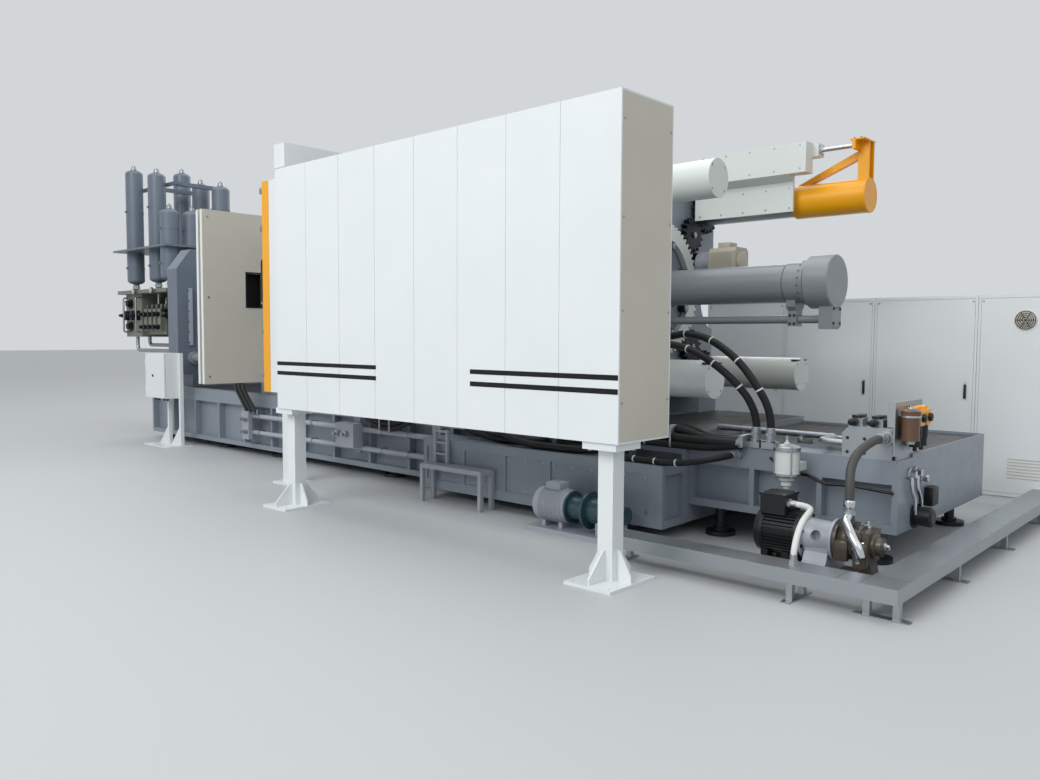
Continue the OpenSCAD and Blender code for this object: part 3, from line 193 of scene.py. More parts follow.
def addPrism(bm, outline, x0, x1):  # plate along X from an outline in Y and Z
    ends = [[bm.verts.new((x, y, z)) for y, z in outline] for x in (x0, x1)]
    joinRings(bm, *ends)
    closeEnds(bm, ends)


def addLoop(bm, centre, axis, radius, thick, sides=20):  # closed ring of round wire
    place = Matrix.Translation(Vector(centre)) @ turnTo(axis)
    rings = []
    for k in range(sides):
        a = 2 * math.pi * k / sides
        rings.append([])
        for b in steps(0, 1.75 * math.pi, 8):
            spot = pointRound(radius + thick * math.cos(b), a, thick * math.sin(b))
            rings[-1].append(bm.verts.new(place @ spot))
    for k in range(sides):
        joinRings(bm, rings[k], rings[(k + 1) % sides])


def addSpokes(bm, hub, reach, count, radius, sides, flat="xz"):  # wires from a hub, in one plane
    for k in range(count):
        a = 2 * math.pi * k / count
        across, up = reach * math.cos(a), reach * math.sin(a)
        tip = {"xz": (across, 0, up), "yz": (0, across, up), "xy": (across, up, 0)}[flat]
        addPipe(bm, [hub, tuple(Vector(hub) + Vector(tip))], radius, sides)


# Places of screws, each a pair of place and direction: on a circle, and in rows.
def circleSpots(centre, axis, radius, count, phase=0.0):
    place = Matrix.Translation(Vector(centre)) @ turnTo(axis)
    return [(place @ pointRound(radius, 2 * math.pi * (k + phase) / count), toward(axis))
        for k in range(count)]


def gridSpots(xs, ys, zs, direction):
    return [(Vector((x, y, z)), toward(direction)) for x in xs for y in ys for z in zs]


def steps(first, last, count):
    return [first + (last - first) * k / (count - 1) for k in range(count)]


cameraView = {"place": (8.381, -7.0832, 1.6), "yaw": 0.743575, "dip": 0.061444, "roll": 0.004881,
    "lens": 855.22 / 1040 * 36}


def makeCamera(view):
    yaw, dip, roll = view["yaw"], view["dip"], view["roll"]
    side = Vector((math.cos(yaw), math.sin(yaw), 0))
    ahead = Vector((-math.sin(yaw), math.cos(yaw), 0))
    up = Vector((0, 0, 1))
    look = math.cos(dip) * ahead - math.sin(dip) * up
    head = math.sin(dip) * ahead + math.cos(dip) * up
    right = math.cos(roll) * side + math.sin(roll) * head
    top = -math.sin(roll) * side + math.cos(roll) * head
    turn = Matrix((right, top, -look)).transposed().to_4x4()
    lens = bpy.data.cameras.new("photoCamera")
    lens.sensor_width, lens.lens, lens.clip_end = 36, view["lens"], 200
    camera = bpy.data.objects.new("photoCamera", lens)
    camera.matrix_world = Matrix.Translation(view["place"]) @ turn
    scene.collection.objects.link(camera)
    scene.camera = camera


lamps = {
    "keyLight": {"place": (3.5, -15.0, 11.0), "aim": (1.0, 0, 1.5), "size": 9.0, "power": 1480},
    "sideLight": {"place": (16.0, -6.0, 9.0), "aim": (3, 0, 1.5), "size": 8.0, "power": 130},
    "backLight": {"place": (-6.0, 14.0, 10.0), "aim": (0, 0, 1.5), "size": 9.0, "power": 520},
    "roofLight": {"place": (1.0, 0.0, 12.0), "aim": (1, 0, 0), "size": 10.0, "power": 380},
}
evenSky = {"power": 0.75, "angle": 2.4}  # a very wide sun from above, so its shadows are soft


def makeLamps():
    for name, lamp in lamps.items():
        light = bpy.data.lights.new(name, "AREA")
        light.size, light.energy = lamp["size"], lamp["power"]
        place = Vector(lamp["place"])
        holder = bpy.data.objects.new(name, light)
        holder.matrix_world = Matrix.Translation(place) @ turnTo(place - Vector(lamp["aim"]))
        scene.collection.objects.link(holder)
    sun = bpy.data.lights.new("evenSky", "SUN")
    sun.energy, sun.angle = evenSky["power"], evenSky["angle"]
    scene.collection.objects.link(bpy.data.objects.new("evenSky", sun))


studio = {"colour": "#E2E6E9", "light": 0.56, "shown": 0.85}  # light on things, backdrop as seen


def makeWorld():
    world = bpy.data.worlds.new("paleStudio")
    world.use_nodes = True
    tree = world.node_tree
    tree.nodes.clear()
    ray = addNode(tree, "ShaderNodeLightPath").outputs
    seen = addNode(tree, "ShaderNodeMath", {"operation": "MAXIMUM"},
        {0: ray["Is Camera Ray"], 1: ray["Is Glossy Ray"]})
    anySeen = addNode(tree, "ShaderNodeMath", {"operation": "MAXIMUM"},
        {0: seen.outputs[0], 1: ray["Is Transmission Ray"]})
    power = addNode(tree, "ShaderNodeMapRange",
        {"To Min": studio["light"], "To Max": studio["shown"]}, {"Value": anySeen.outputs[0]})
    lit = addNode(tree, "ShaderNodeBackground", {"Color": hexColour(studio["colour"])},
        {"Strength": power.outputs[0]})
    addNode(tree, "ShaderNodeOutputWorld", None, {"Surface": lit.outputs[0]})
    scene.world = world


makeCamera(cameraView)
makeLamps()
makeWorld()
print("camera and lights in place")


# Sprayed enamels and powder coats. shade is the second tone of slow clouds, where the film is
# thicker; peel is how far the orange peel breaks up a reflection. The blacks are duller and have
# next to no clear coat, so that they stay black under even light.
paints = {
    # blue-grey machine enamel on castings and weldments, satin
    "machineEnamel": {"colour": "#8B949E", "shade": "#7E8791", "roughness": 0.38, "peel": 0.10},
    # the darker coat of the shot end and the links
    "slateEnamel": {"colour": "#6C7784", "shade": "#606B78", "roughness": 0.40, "peel": 0.10},
    # neutral grey on turned cylinders, a little glossier
    "cylinderEnamel": {"colour": "#8B9195", "shade": "#7F8589", "roughness": 0.36, "peel": 0.08},
    # cold white on sheet metal guards, even and with a clear orange peel
    "whitePowderCoat": {"colour": "#E4E8E9", "shade": "#DCE1E2", "roughness": 0.34, "peel": 0.16},
    # the greener white of the covers
    "coverPowderCoat": {"colour": "#DADFDB", "shade": "#D0D6D2", "roughness": 0.36, "peel": 0.16},
    # warm beige, duller: painted shade for the white side walls and guard ends, on faces that lie
    # away from the light; the cabinet's louvres use it too
    "beigePowderCoat": {"colour": "#C9C5B9", "shade": "#BFBBAE", "roughness": 0.45, "peel": 0.16},
    # signal yellow on what moves
    "safetyYellow": {"colour": "#F5AC00", "shade": "#EA9E00", "roughness": 0.33, "peel": 0.12},
    # flat olive primer on the valve blocks
    "oliveEnamel": {"colour": "#7C7D70", "shade": "#6F7064", "roughness": 0.48, "peel": 0.10},
    # cast iron motor, black
    "motorBlack": {"colour": "#141619", "shade": "#0E1012", "roughness": 0.42, "peel": 0.08,
                   "ior": 1.42, "coat": 0.05},
    # oily brown casting, patchy and wet
    "pumpBrown": {"colour": "#51483D", "shade": "#372F27", "roughness": 0.32, "peel": 0.20},
    # dark teal motor enamel, glossy
    "motorTeal": {"colour": "#2C4D54", "shade": "#233F46", "roughness": 0.30, "peel": 0.10},
    # pale grey on cast housings
    "bellGrey": {"colour": "#A9ADB6", "shade": "#9A9FA8", "roughness": 0.42, "peel": 0.14},
    # moulded filter bowl, brown and smooth
    "filterBrown": {"colour": "#6A4C3A", "shade": "#55392A", "roughness": 0.30, "peel": 0.05},
    # cream enamel of the drive motor
    "driveCream": {"colour": "#BDB8A8", "shade": "#B0AB9B", "roughness": 0.42, "peel": 0.10},
    # steel deck under old oil, near black, and darker still as painted shade where the deck lies
    # under hoses and behind the guard
    "oiledDeck": {"colour": "#332F2B", "shade": "#211E1C", "roughness": 0.36, "peel": 0.05,
                  "ior": 1.42, "coat": 0.05},
    # vinyl film, and the painted shade of the dark inside behind the window, matt
    "mattBlackFilm": {"colour": "#0F1012", "shade": "#0B0C0D", "roughness": 0.55, "peel": 0.03,
                      "ior": 1.36, "coat": 0.0},
}
# Noise scales: clouds of 600 mm, smears of 110 mm, and a peel of 3 mm, which is really 1 to 2 mm
# and is drawn coarser so that it shows.
grain = {"clouds": 1.7, "smears": 9.0, "peel": 330.0}


def newMaterial(name):
    material = bpy.data.materials.new(name)
    material.use_nodes = True
    material.node_tree.nodes.clear()
    finish[name] = material
    tree = material.node_tree
    return tree, addNode(tree, "ShaderNodeTexCoord").outputs["Object"]


def enamel(name, look):
    tree, place = newMaterial(name)
    clouds = addNode(tree, "ShaderNodeTexNoise",
        {"Scale": grain["clouds"], "Detail": 4.0, "Roughness": 0.55}, {"Vector": place})
    tone = addNode(tree, "ShaderNodeMix",
        {"data_type": "RGBA", 6: hexColour(look["colour"]), 7: hexColour(look["shade"])},
        {0: clouds.outputs["Fac"]})
    smears = addNode(tree, "ShaderNodeTexNoise",
        {"Scale": grain["smears"], "Detail": 5.0, "Roughness": 0.6}, {"Vector": place})
    rough = look["roughness"]
    gloss = addNode(tree, "ShaderNodeMapRange",
        {"From Min": 0.35, "From Max": 0.7, "To Min": rough - 0.05, "To Max": rough + 0.09},
        {"Value": smears.outputs["Fac"]})
    peel = addNode(tree, "ShaderNodeTexNoise", {"Scale": grain["peel"], "Detail": 1.0},
        {"Vector": place})
    bump = addNode(tree, "ShaderNodeBump", {"Strength": look["peel"], "Distance": 0.0006},
        {"Height": peel.outputs["Fac"]})
    film = {"IOR": look.get("ior", 1.5), "Coat Weight": look.get("coat", 0.15)}
    paint = addNode(tree, "ShaderNodeBsdfPrincipled", {**film, "Coat Roughness": 0.12},
        {"Base Color": tone.outputs[2], "Roughness": gloss.outputs[0], "Normal": bump.outputs[0]})
    addNode(tree, "ShaderNodeOutputMaterial", None, {"Surface": paint.outputs[0]})


# Bare and plated steel. The marks are stretched along X, the way that most bars run.
metals = {
    # turned bar: fine lines 0.6 mm apart
    "turnedSteel": {"colour": "#A9ADB0", "rough": 0.30, "lines": 45.0, "stretch": (1, 40, 40)},
    # ground and chromed rod: bright, with a faint 3 mm drift
    "hardChrome": {"colour": "#C9CDD0", "rough": 0.12, "lines": 15.0, "stretch": (1, 20, 20)},
    # oil-blacked bolts and gears: dark, clouded over 170 mm
    "blackenedSteel": {"colour": "#3E4246", "rough": 0.42, "lines": 6.0, "stretch": (1, 1, 1)},
    # zinc-plated fittings: grey, clouded over 330 mm
    "zincPlate": {"colour": "#A8ADB1", "rough": 0.36, "lines": 3.0, "stretch": (1, 1, 1)},
}


def metal(name, look):
    tree, place = newMaterial(name)
    turned = addNode(tree, "ShaderNodeMapping", {"Scale": look["stretch"]}, {"Vector": place})
    marks = addNode(tree, "ShaderNodeTexNoise", {"Scale": look["lines"], "Detail": 3.0},
        {"Vector": turned.outputs[0]})
    polish = addNode(tree, "ShaderNodeMapRange",
        {"To Min": look["rough"] - 0.05, "To Max": look["rough"] + 0.12},
        {"Value": marks.outputs["Fac"]})
    bump = addNode(tree, "ShaderNodeBump", {"Strength": 0.08, "Distance": 0.0004},
        {"Height": marks.outputs["Fac"]})
    steel = addNode(tree, "ShaderNodeBsdfPrincipled",
        {"Base Color": hexColour(look["colour"]), "Metallic": 1.0},
        {"Roughness": polish.outputs[0], "Normal": bump.outputs[0]})
    addNode(tree, "ShaderNodeOutputMaterial", None, {"Surface": steel.outputs[0]})


# Extruded covers of hoses and ties. braid is the scale of the wrap's print: 4, 6 and 3 mm cells.
rubbers = {
    "blackRubber": {"colour": "#151617", "rough": 0.5, "braid": 260.0},  # hydraulic hose, dull
    "greyGuardHose": {"colour": "#4A4B49", "rough": 0.5, "braid": 160.0},  # woven sleeve
    "palePlastic": {"colour": "#D9DCD8", "rough": 0.45, "braid": 300.0},  # conduit and ties
}


def rubber(name, look):
    tree, place = newMaterial(name)
    weave = addNode(tree, "ShaderNodeTexVoronoi", {"Scale": look["braid"]}, {"Vector": place})
    bump = addNode(tree, "ShaderNodeBump", {"Strength": 0.25, "Distance": 0.001},
        {"Height": weave.outputs["Distance"]})
    haze = addNode(tree, "ShaderNodeTexNoise", {"Scale": 14.0, "Detail": 3.0}, {"Vector": place})
    tone = addNode(tree, "ShaderNodeMapRange",
        {"To Min": look["rough"] - 0.08, "To Max": look["rough"] + 0.1},
        {"Value": haze.outputs["Fac"]})
    skin = addNode(tree, "ShaderNodeBsdfPrincipled",
        {"Base Color": hexColour(look["colour"]), "IOR": 1.4},
        {"Roughness": tone.outputs[0], "Normal": bump.outputs[0]})
    addNode(tree, "ShaderNodeOutputMaterial", None, {"Surface": skin.outputs[0]})


for makeFinish, table in ((enamel, paints), (metal, metals), (rubber, rubbers)):
    for finishName, look in table.items():
        makeFinish(finishName, look)

nodeFinish = {
    "machineEnamel": ["base_frame", "side_tank", "stationary_platen", "moving_platen",
        "rear_platen"],
    "cylinderEnamel": ["clamp_cylinder", "cylinder_pipe", "shot_cylinder", "shot_rods"],
    "slateEnamel": ["shot_frame", "piston_accumulators", "gas_bottles", "bottle_rack",
        "rear_links", "front_links", "crosshead"],
    "whitePowderCoat": ["guard_box", "guard_posts", "safety_door", "rear_guard", "gantry",
        "cabinet", "control_box", "control_box_door"],
    "coverPowderCoat": ["tie_bar_covers", "puller_housing", "ring_gear", "oil_filter"],
    # the side walls are white sheet: their beige is painted shade
    "beigePowderCoat": ["front_side_wall", "rear_side_wall"],
    "safetyYellow": ["puller_carriage", "door_fittings"],
    "oliveEnamel": ["shot_manifold"],
    "motorBlack": ["pump_motor"],
    "bellGrey": ["bell_housing", "base_pipes", "step_frame", "lube_unit"],
    "pumpBrown": ["pump_set"],
    "turnedSteel": ["tie_bars"],
    "hardChrome": ["guide_rods", "puller_rod"],
    "blackenedSteel": ["levelling_feet", "adjusting_gears"],
    "zincPlate": ["door_rail", "cable_tray", "filter_panel", "valve_manifold"],
}
for finishName, names in nodeFinish.items():
    for nodeName in names:
        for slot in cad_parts[nodeName].material_slots:
            slot.material = finish[finishName]
print("finishes laid on", sum(len(n) for n in nodeFinish.values()), "nodes")


# Free hoses: the route repeats the solid's points, ties are the points that a band stands on.
hoses = {
    "pressure_hose": {
        "finish": "blackRubber", "across": 0.06, "stiff": "stiff", "ties": (3, 5, 7, 9, 11),
        "route": [
            (3.8, -1.0, 1.54), (3.93, -1.0, 1.54), (4.06, -1.0, 1.54), (4.19, -1.01, 1.545),
            (4.33, -1.03, 1.55), (4.47, -1.06, 1.55), (4.605, -1.1, 1.54), (4.735, -1.135, 1.515),
            (4.86, -1.16, 1.47), (4.98, -1.165, 1.405), (5.085, -1.145, 1.325),
            (5.172, -1.105, 1.23), (5.243, -1.055, 1.11), (5.28, -1.02, 0.96),
            (5.28, -1.02, 0.86)]},
    "return_hose": {
        "finish": "blackRubber", "across": 0.06, "stiff": "stiff", "ties": (4, 6, 8, 10, 12),
        "route": [
            (3.8, -0.91, 1.54), (3.935, -0.91, 1.54), (4.075, -0.91, 1.545),
            (4.215, -0.92, 1.565), (4.355, -0.94, 1.595), (4.495, -0.97, 1.62),
            (4.64, -1.01, 1.635), (4.78, -1.05, 1.62), (4.915, -1.08, 1.58), (5.04, -1.1, 1.515),
            (5.155, -1.105, 1.43), (5.25, -1.095, 1.325), (5.325, -1.073, 1.21),
            (5.378, -1.043, 1.09), (5.4, -1.02, 0.965), (5.4, -1.02, 0.86)]},
    "loop_hose": {
        "finish": "blackRubber", "across": 0.05, "stiff": "medium", "ties": (6, 8, 10),
        "route": [
            (5.15, -1.11, 0.7), (5.15, -1.18, 0.7), (5.132, -1.27, 0.695), (5.081, -1.346, 0.682),
            (5.005, -1.397, 0.665), (4.915, -1.415, 0.648), (4.817, -1.415, 0.634),
            (4.719, -1.415, 0.628), (4.621, -1.415, 0.628), (4.523, -1.415, 0.628),
            (4.425, -1.415, 0.628), (4.335, -1.397, 0.63), (4.259, -1.346, 0.637),
            (4.208, -1.27, 0.646), (4.19, -1.18, 0.65), (4.19, -1.13, 0.65)]},
    "suction_hose": {
        "finish": "greyGuardHose", "across": 0.06, "stiff": "stiff", "ties": (),
        "route": [
            (6.215, -1.53, 0.45), (6.215, -1.53, 0.515), (6.215, -1.53, 0.58),
            (6.213, -1.527, 0.628), (6.208, -1.516, 0.676), (6.203, -1.499, 0.721),
            (6.202, -1.476, 0.764), (6.205, -1.447, 0.803), (6.213, -1.413, 0.837),
            (6.226, -1.374, 0.866), (6.239, -1.331, 0.889), (6.251, -1.286, 0.906),
            (6.259, -1.238, 0.917), (6.262, -1.19, 0.92), (6.262, -1.15, 0.92),
            (6.262, -1.11, 0.92)]},
    "motor_conduit": {
        "finish": "palePlastic", "across": 0.04, "stiff": "medium", "ties": (),
        "route": [
            (5.82, -1.59, 0.48), (5.85, -1.59, 0.48), (5.895, -1.592, 0.48), (5.945, -1.61, 0.48),
            (5.99, -1.645, 0.48), (6.022, -1.692, 0.478), (6.04, -1.748, 0.473),
            (6.05, -1.806, 0.463), (6.057, -1.862, 0.447), (6.063, -1.916, 0.423),
            (6.069, -1.965, 0.39), (6.074, -2.006, 0.348), (6.078, -2.037, 0.3),
            (6.078, -2.05, 0.25), (6.078, -2.05, 0.2)]},
}


def layHose(nodeName, hose):
    curve = bpy.data.curves.new(nodeName + "Line", "CURVE")
    curve.dimensions = "3D"
    curve.bevel_depth = hose["across"] / 2
    curve.bevel_resolution = 5
    curve.use_fill_caps = True
    line = curve.splines.new("BEZIER")
    line.bezier_points.add(len(hose["route"]) - 1)
    for point, place in zip(line.bezier_points, hose["route"]):
        point.co = place
        point.handle_left_type = point.handle_right_type = "AUTO"
    line.resolution_u = 6
    curve.materials.append(finish[hose["finish"]])
    piece = bpy.data.objects.new(nodeName + "Line", curve)
    scene.collection.objects.link(piece)
    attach(piece, "frame")
    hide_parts(nodeName)
    route = [Vector(p) for p in hose["route"]]
    r = hose["across"] / 2

    def bands(bm):
        for i in hose["ties"]:
            ahead = (route[i + 1] - route[i - 1]).normalized()
            addTurned(bm, route[i] - ahead * 0.006, ahead, band(r, r + 0.003, 0.012), 20)

    def sleeves(bm):  # hexagon of the fitting, then the crimped sleeve
        for end, inward in ((0, 1), (-1, -2)):
            ahead = (route[inward] - route[end]).normalized()
            addTurned(bm, route[end], ahead, capped(r + 0.012, 0.022, r + 0.004, 0.022), 6)
            addTurned(bm, route[end] + ahead * 0.022, ahead,
                capped(r + 0.004, 0.036, r + 0.001, 0.04), 24)

    onIt = [meshPiece(nodeName + "Sleeves", "zincPlate", sleeves, 30)]
    if hose["ties"]:
        onIt.append(meshPiece(nodeName + "Ties", "palePlastic", bands, 40))


for hoseName, hose in hoses.items():
    layHose(hoseName, hose)
print("hoses laid")


boltInputs = {"Points": ("NodeSocketGeometry", None), "Radius": ("NodeSocketFloat", 0.01),
    "Height": ("NodeSocketFloat", 0.008), "Sides": ("NodeSocketInt", 6),
    "Finish": ("NodeSocketMaterial", None)}


def makeBoltTree():  # a head on a washer at each point, turned to the point's aim
    tree = bpy.data.node_groups.new("boltHeads", "GeometryNodeTree")
    sockets = {}
    for label, (kind, value) in boltInputs.items():
        socket = tree.interface.new_socket(label, in_out="INPUT", socket_type=kind)
        if value is not None:
            socket.default_value = value
        sockets[label] = socket.identifier
    tree.interface.new_socket("Geometry", in_out="OUTPUT", socket_type="NodeSocketGeometry")
    given = addNode(tree, "NodeGroupInput").outputs
    head = addNode(tree, "GeometryNodeMeshCylinder", None,
        {"Vertices": given["Sides"], "Radius": given["Radius"], "Depth": given["Height"]})
    half = addNode(tree, "ShaderNodeMath", {"operation": "MULTIPLY", 1: 0.5}, {0: given["Height"]})
    up = addNode(tree, "ShaderNodeCombineXYZ", None, {"Z": half.outputs[0]})
    raised = addNode(tree, "GeometryNodeTransform", None,
        {"Geometry": head.outputs["Mesh"], "Translation": up.outputs[0]})
    rim = addNode(tree, "ShaderNodeMath", {"operation": "MULTIPLY", 1: 1.5}, {0: given["Radius"]})
    thin = addNode(tree, "ShaderNodeMath", {"operation": "MULTIPLY", 1: 0.3}, {0: given["Height"]})
    washer = addNode(tree, "GeometryNodeMeshCylinder", {"Vertices": 16},
        {"Radius": rim.outputs[0], "Depth": thin.outputs[0]})
    both = addNode(tree, "GeometryNodeJoinGeometry")
    tree.links.new(raised.outputs[0], both.inputs[0])
    tree.links.new(washer.outputs["Mesh"], both.inputs[0])
    aim = addNode(tree, "GeometryNodeInputNamedAttribute",
        {"data_type": "FLOAT_VECTOR", "Name": "aim"})
    turn = addNode(tree, "FunctionNodeAlignRotationToVector", {"axis": "Z"},
        {"Vector": aim.outputs[0]})
    placed = addNode(tree, "GeometryNodeInstanceOnPoints", None,
        {"Points": given["Points"], "Instance": both.outputs[0], "Rotation": turn.outputs[0]})
    real = addNode(tree, "GeometryNodeRealizeInstances", None, {"Geometry": placed.outputs[0]})
    painted = addNode(tree, "GeometryNodeSetMaterial", None,
        {"Geometry": real.outputs[0], "Material": given["Finish"]})
    addNode(tree, "NodeGroupOutput", None, {"Geometry": painted.outputs[0]})
    return tree, sockets


boltTree, boltSockets = makeBoltTree()


# Radius and height are those of a head: six sides are a hexagon, twelve a pan or socket head.
def boltField(name, finishName, spots, radius, height, sides=6, body="frame"):
    points = bpy.data.meshes.new(name + "Points")
    points.from_pydata([tuple(place) for place, _ in spots], [], [])
    aim = points.attributes.new("aim", "FLOAT_VECTOR", "POINT")
    for i, (_, direction) in enumerate(spots):
        aim.data[i].vector = direction
    piece = bpy.data.objects.new(name, points)
    scene.collection.objects.link(piece)
    modifier = piece.modifiers.new("bolts", "NODES")
    modifier.node_group = boltTree
    settings = {"Radius": radius, "Height": height, "Sides": sides, "Finish": finish[finishName]}
    for label, value in settings.items():
        modifier[boltSockets[label]] = value
    bpy.context.view_layer.update()
    graph = bpy.context.evaluated_depsgraph_get()
    solid = bpy.data.meshes.new_from_object(piece.evaluated_get(graph))
    piece.modifiers.clear()
    piece.data = solid
    solid.name = name
    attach(piece, body)


# Low and high edge of the two stripes, and the bare run between their halves.
guard = {"left": 1.32, "right": 5.23, "front": -2.75, "back": -2.17, "posts": (1.4, 5.07),
    "stripes": ((1.333, 1.367), (1.244, 1.279)), "bare": (2.8, 3.9),
    "screws": (1.19, 1.77, 2.35, 2.95), "inset": 0.012, "skin": 0.001}


def guardStripes(bm):
    runs = ((guard["left"] + 0.004, guard["bare"][0]), (guard["bare"][1], guard["right"] - 0.004))
    for low, high in guard["stripes"]:
        for left, right in runs:
            addBox(bm, (left, guard["front"] - 0.0012, low), (right, guard["front"] + 0.001, high))


def guardEndShade(bm):  # thin beige panel on each end, painted shade on the white end faces
    low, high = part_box("guard_box")
    inset, skin = guard["inset"], guard["skin"]
    for x in (guard["right"], guard["left"] - skin):
        addBox(bm, (x, guard["front"] + inset, low[2] + inset),
            (x + skin, guard["back"] - inset, high[2] - inset))


guardEdges = (guard["front"] + 0.035, guard["back"] - 0.03)
meshPiece("guardEndShade", "beigePowderCoat", guardEndShade)
meshPiece("guardStripes", "mattBlackFilm", guardStripes)
boltField("guardScrews", "zincPlate",
    gridSpots((guard["right"],), guardEdges, guard["screws"], "x")
    + gridSpots((guard["left"],), guardEdges, guard["screws"], "-x"), 0.008, 0.005, 12)
postSides = [x + side for x in guard["posts"] for side in (-0.1, 0.1)]
boltField("postBolts", "zincPlate", gridSpots(postSides, (-2.7, -2.5), (0.88,), "-z"),
    0.012, 0.012)
print("guard box trimmed")


clamp = {"axis": 2.08, "face": 3.74, "ring": 5.2, "flangeBolts": 0.227, "ringBolts": 0.183,
    "rollers": 0.4597, "idlers": 0.8, "covers": ((-0.82, 1.26), (-0.82, 2.9), (0.82, 1.26)),
    "coverEnd": 4.8, "coverScrews": 0.135}
drive = {"y": 0.6837, "z": 2.3632, "half": 0.1365, "corner": 0.04, "gear": 3.751, "back": 3.918,
    "end": 4.212}


def clampEndBolts():
    z = clamp["axis"]
    boltField("clampFlangeBolts", "blackenedSteel",
        circleSpots((clamp["face"], 0, z), "x", clamp["flangeBolts"], 12, 0.5), 0.014, 0.024)
    boltField("clampRingBolts", "blackenedSteel",
        circleSpots((clamp["ring"], 0, z), "-x", clamp["ringBolts"], 18), 0.007, 0.013, 12)
    boltField("rollerCaps", "zincPlate", circleSpots((3.75, 0, z), "x", clamp["rollers"], 8, 0.5)
        + circleSpots((3.755, 0, z), "x", clamp["idlers"], 4, 0.5), 0.02, 0.008)
    spots = []
    for y, z in clamp["covers"]:
        spots += circleSpots((clamp["coverEnd"], y, z), "x", clamp["coverScrews"], 4, 0.5)
    boltField("coverScrews", "zincPlate", spots, 0.007, 0.004, 12)
    boltField("pipeBlockScrews", "blackenedSteel",
        gridSpots((5.465,), (-0.065, 0.065), (1.73, 1.85), "x"), 0.009, 0.009)
    boltField("pipeClipScrews", "blackenedSteel",
        gridSpots((5.078, 5.118), (-0.055,), (1.73, 1.80), "-y"), 0.008, 0.008)


def coverClips(bm):  # two on top of each lower cover's end
    end = clamp["coverEnd"]
    for y, z in clamp["covers"][::2]:
        for side in (-0.075, 0.075):
            addBox(bm, (end - 0.065, y + side - 0.03, z + 0.128),
                (end + 0.003, y + side + 0.03, z + 0.142), 0.003)


def driveMotorCase(bm):
    y, z, w, c = drive["y"], drive["z"], drive["half"], drive["corner"]
    corners = ((c - w, -w), (w - c, -w), (w, c - w), (w, w - c), (w - c, w), (c - w, w),
        (-w, w - c), (-w, c - w))
    addPrism(bm, [(y + a, z + b) for a, b in corners], drive["back"], drive["end"])
    for k in steps(-0.08, 0.08, 9):  # cooling fins
        addBox(bm, (3.95, y - w - 0.004, z + k - 0.004), (4.18, y + w + 0.004, z + k + 0.004))
    addBox(bm, (3.99, y - 0.075, z + w - 0.002), (4.12, y + 0.075, z + w + 0.055), 0.005)
    addTurned(bm, (4.21, y, z), "x", [(0, 0.1), (0.018, 0.1), (0.026, 0.085), (0.026, 0)])


def driveGearbox(bm):  # two steps, then the motor's flange
    addTurned(bm, (drive["gear"], drive["y"], drive["z"]), "x",
        [(0, 0.116), (0.07, 0.116), (0.08, 0.106), (0.149, 0.106), (0.149, 0.131), (0.167, 0.131)],
        40)


clampEndBolts()
meshPiece("coverClips", "blackenedSteel", coverClips, 35)
meshPiece("driveMotorCase", "driveCream", driveMotorCase, 35)
meshPiece("driveGearbox", "bellGrey", driveGearbox, 35)
print("clamp end bolted")


puller = {"rod": (5.006, 0.665, 3.33), "tube": (5.385, 0.82, 2.9)}
# Chromed gland where the rod leaves the housing, and the weld round the yellow tube.
pullerGland = {"finish": "hardChrome", "parts": [
    (addTurned, puller["rod"], "x", [(0, 0.04), (0.007, 0.04), (0.011, 0.034), (0.014, 0.026)])]}
pullerWeld = {"finish": "safetyYellow", "parts": [
    (addTurned, puller["tube"], "x",
        [(0, 0.154), (0.004, 0.158), (0.016, 0.158), (0.02, 0.154)], 48)]}
partsPiece("pullerGland", pullerGland)
partsPiece("pullerWeld", pullerWeld, "puller")
boltField("glandScrews", "zincPlate", circleSpots((5.007, 0.665, 3.33), "x", 0.05, 4, 0.5),
    0.005, 0.006)
boltField("bracketScrews", "blackenedSteel", gridSpots((5.31, 5.37), (0.67, 0.86), (3.39,), "z"),
    0.012, 0.01, body="puller")
boltField("housingScrews", "zincPlate", gridSpots(steps(3.9, 4.9, 5), (0.45,), (3.15, 3.36), "-y")
    + gridSpots(steps(3.8, 4.75, 5), (0.57,), (2.82, 3.0), "-y"), 0.007, 0.004, 12)


# Bottles of the shot end: X, Y and top of each, their radius, and where their bands stand.
bank = {
    "tall": {"radius": 0.14, "bands": (2.74, 3.7),
        "bottles": ((-6.65, -0.6, 4.44), (-5.79, -0.6, 4.29))},
    "short": {"radius": 0.145, "bands": (2.74, 3.3),
        "bottles": ((-5.15, -0.7, 3.63), (-5.13, -0.33, 3.63))},
    "back": {"radius": 0.145, "bands": (2.74, 3.7),
        "bottles": ((-6.64, 0.25, 4.51), (-5.95, 0.25, 4.24), (-5.26, 0.25, 4.12))},
}


def bottleBands(bm):  # a clamp band and its closing block
    for group in bank.values():
        r = group["radius"]
        for x, y, top in group["bottles"]:
            for z in group["bands"]:
                addTurned(bm, (x, y, z), "z", band(r, r + 0.004, 0.035), 40)
                addBox(bm, (x - 0.02, y - r - 0.028, z + 0.004), (x + 0.02, y - r, z + 0.031),
                    0.002)


def bottleValves(bm):  # neck and valve on top, hexagon below
    for group in bank.values():
        for x, y, top in group["bottles"]:
            addTurned(bm, (x, y, top), "z", stepped(0.05, 0.02, 0.04, 0.024, 0.05), 24)
            addTurned(bm, (x, y, top + 0.056), "z", stepped(0.018, 0.012, 0.01, 0.012, 0.03), 12)
            addTurned(bm, (x, y, 2.41), "z", stepped(0.06, 0.03, 0.052, 0.034, 0.06), 6)


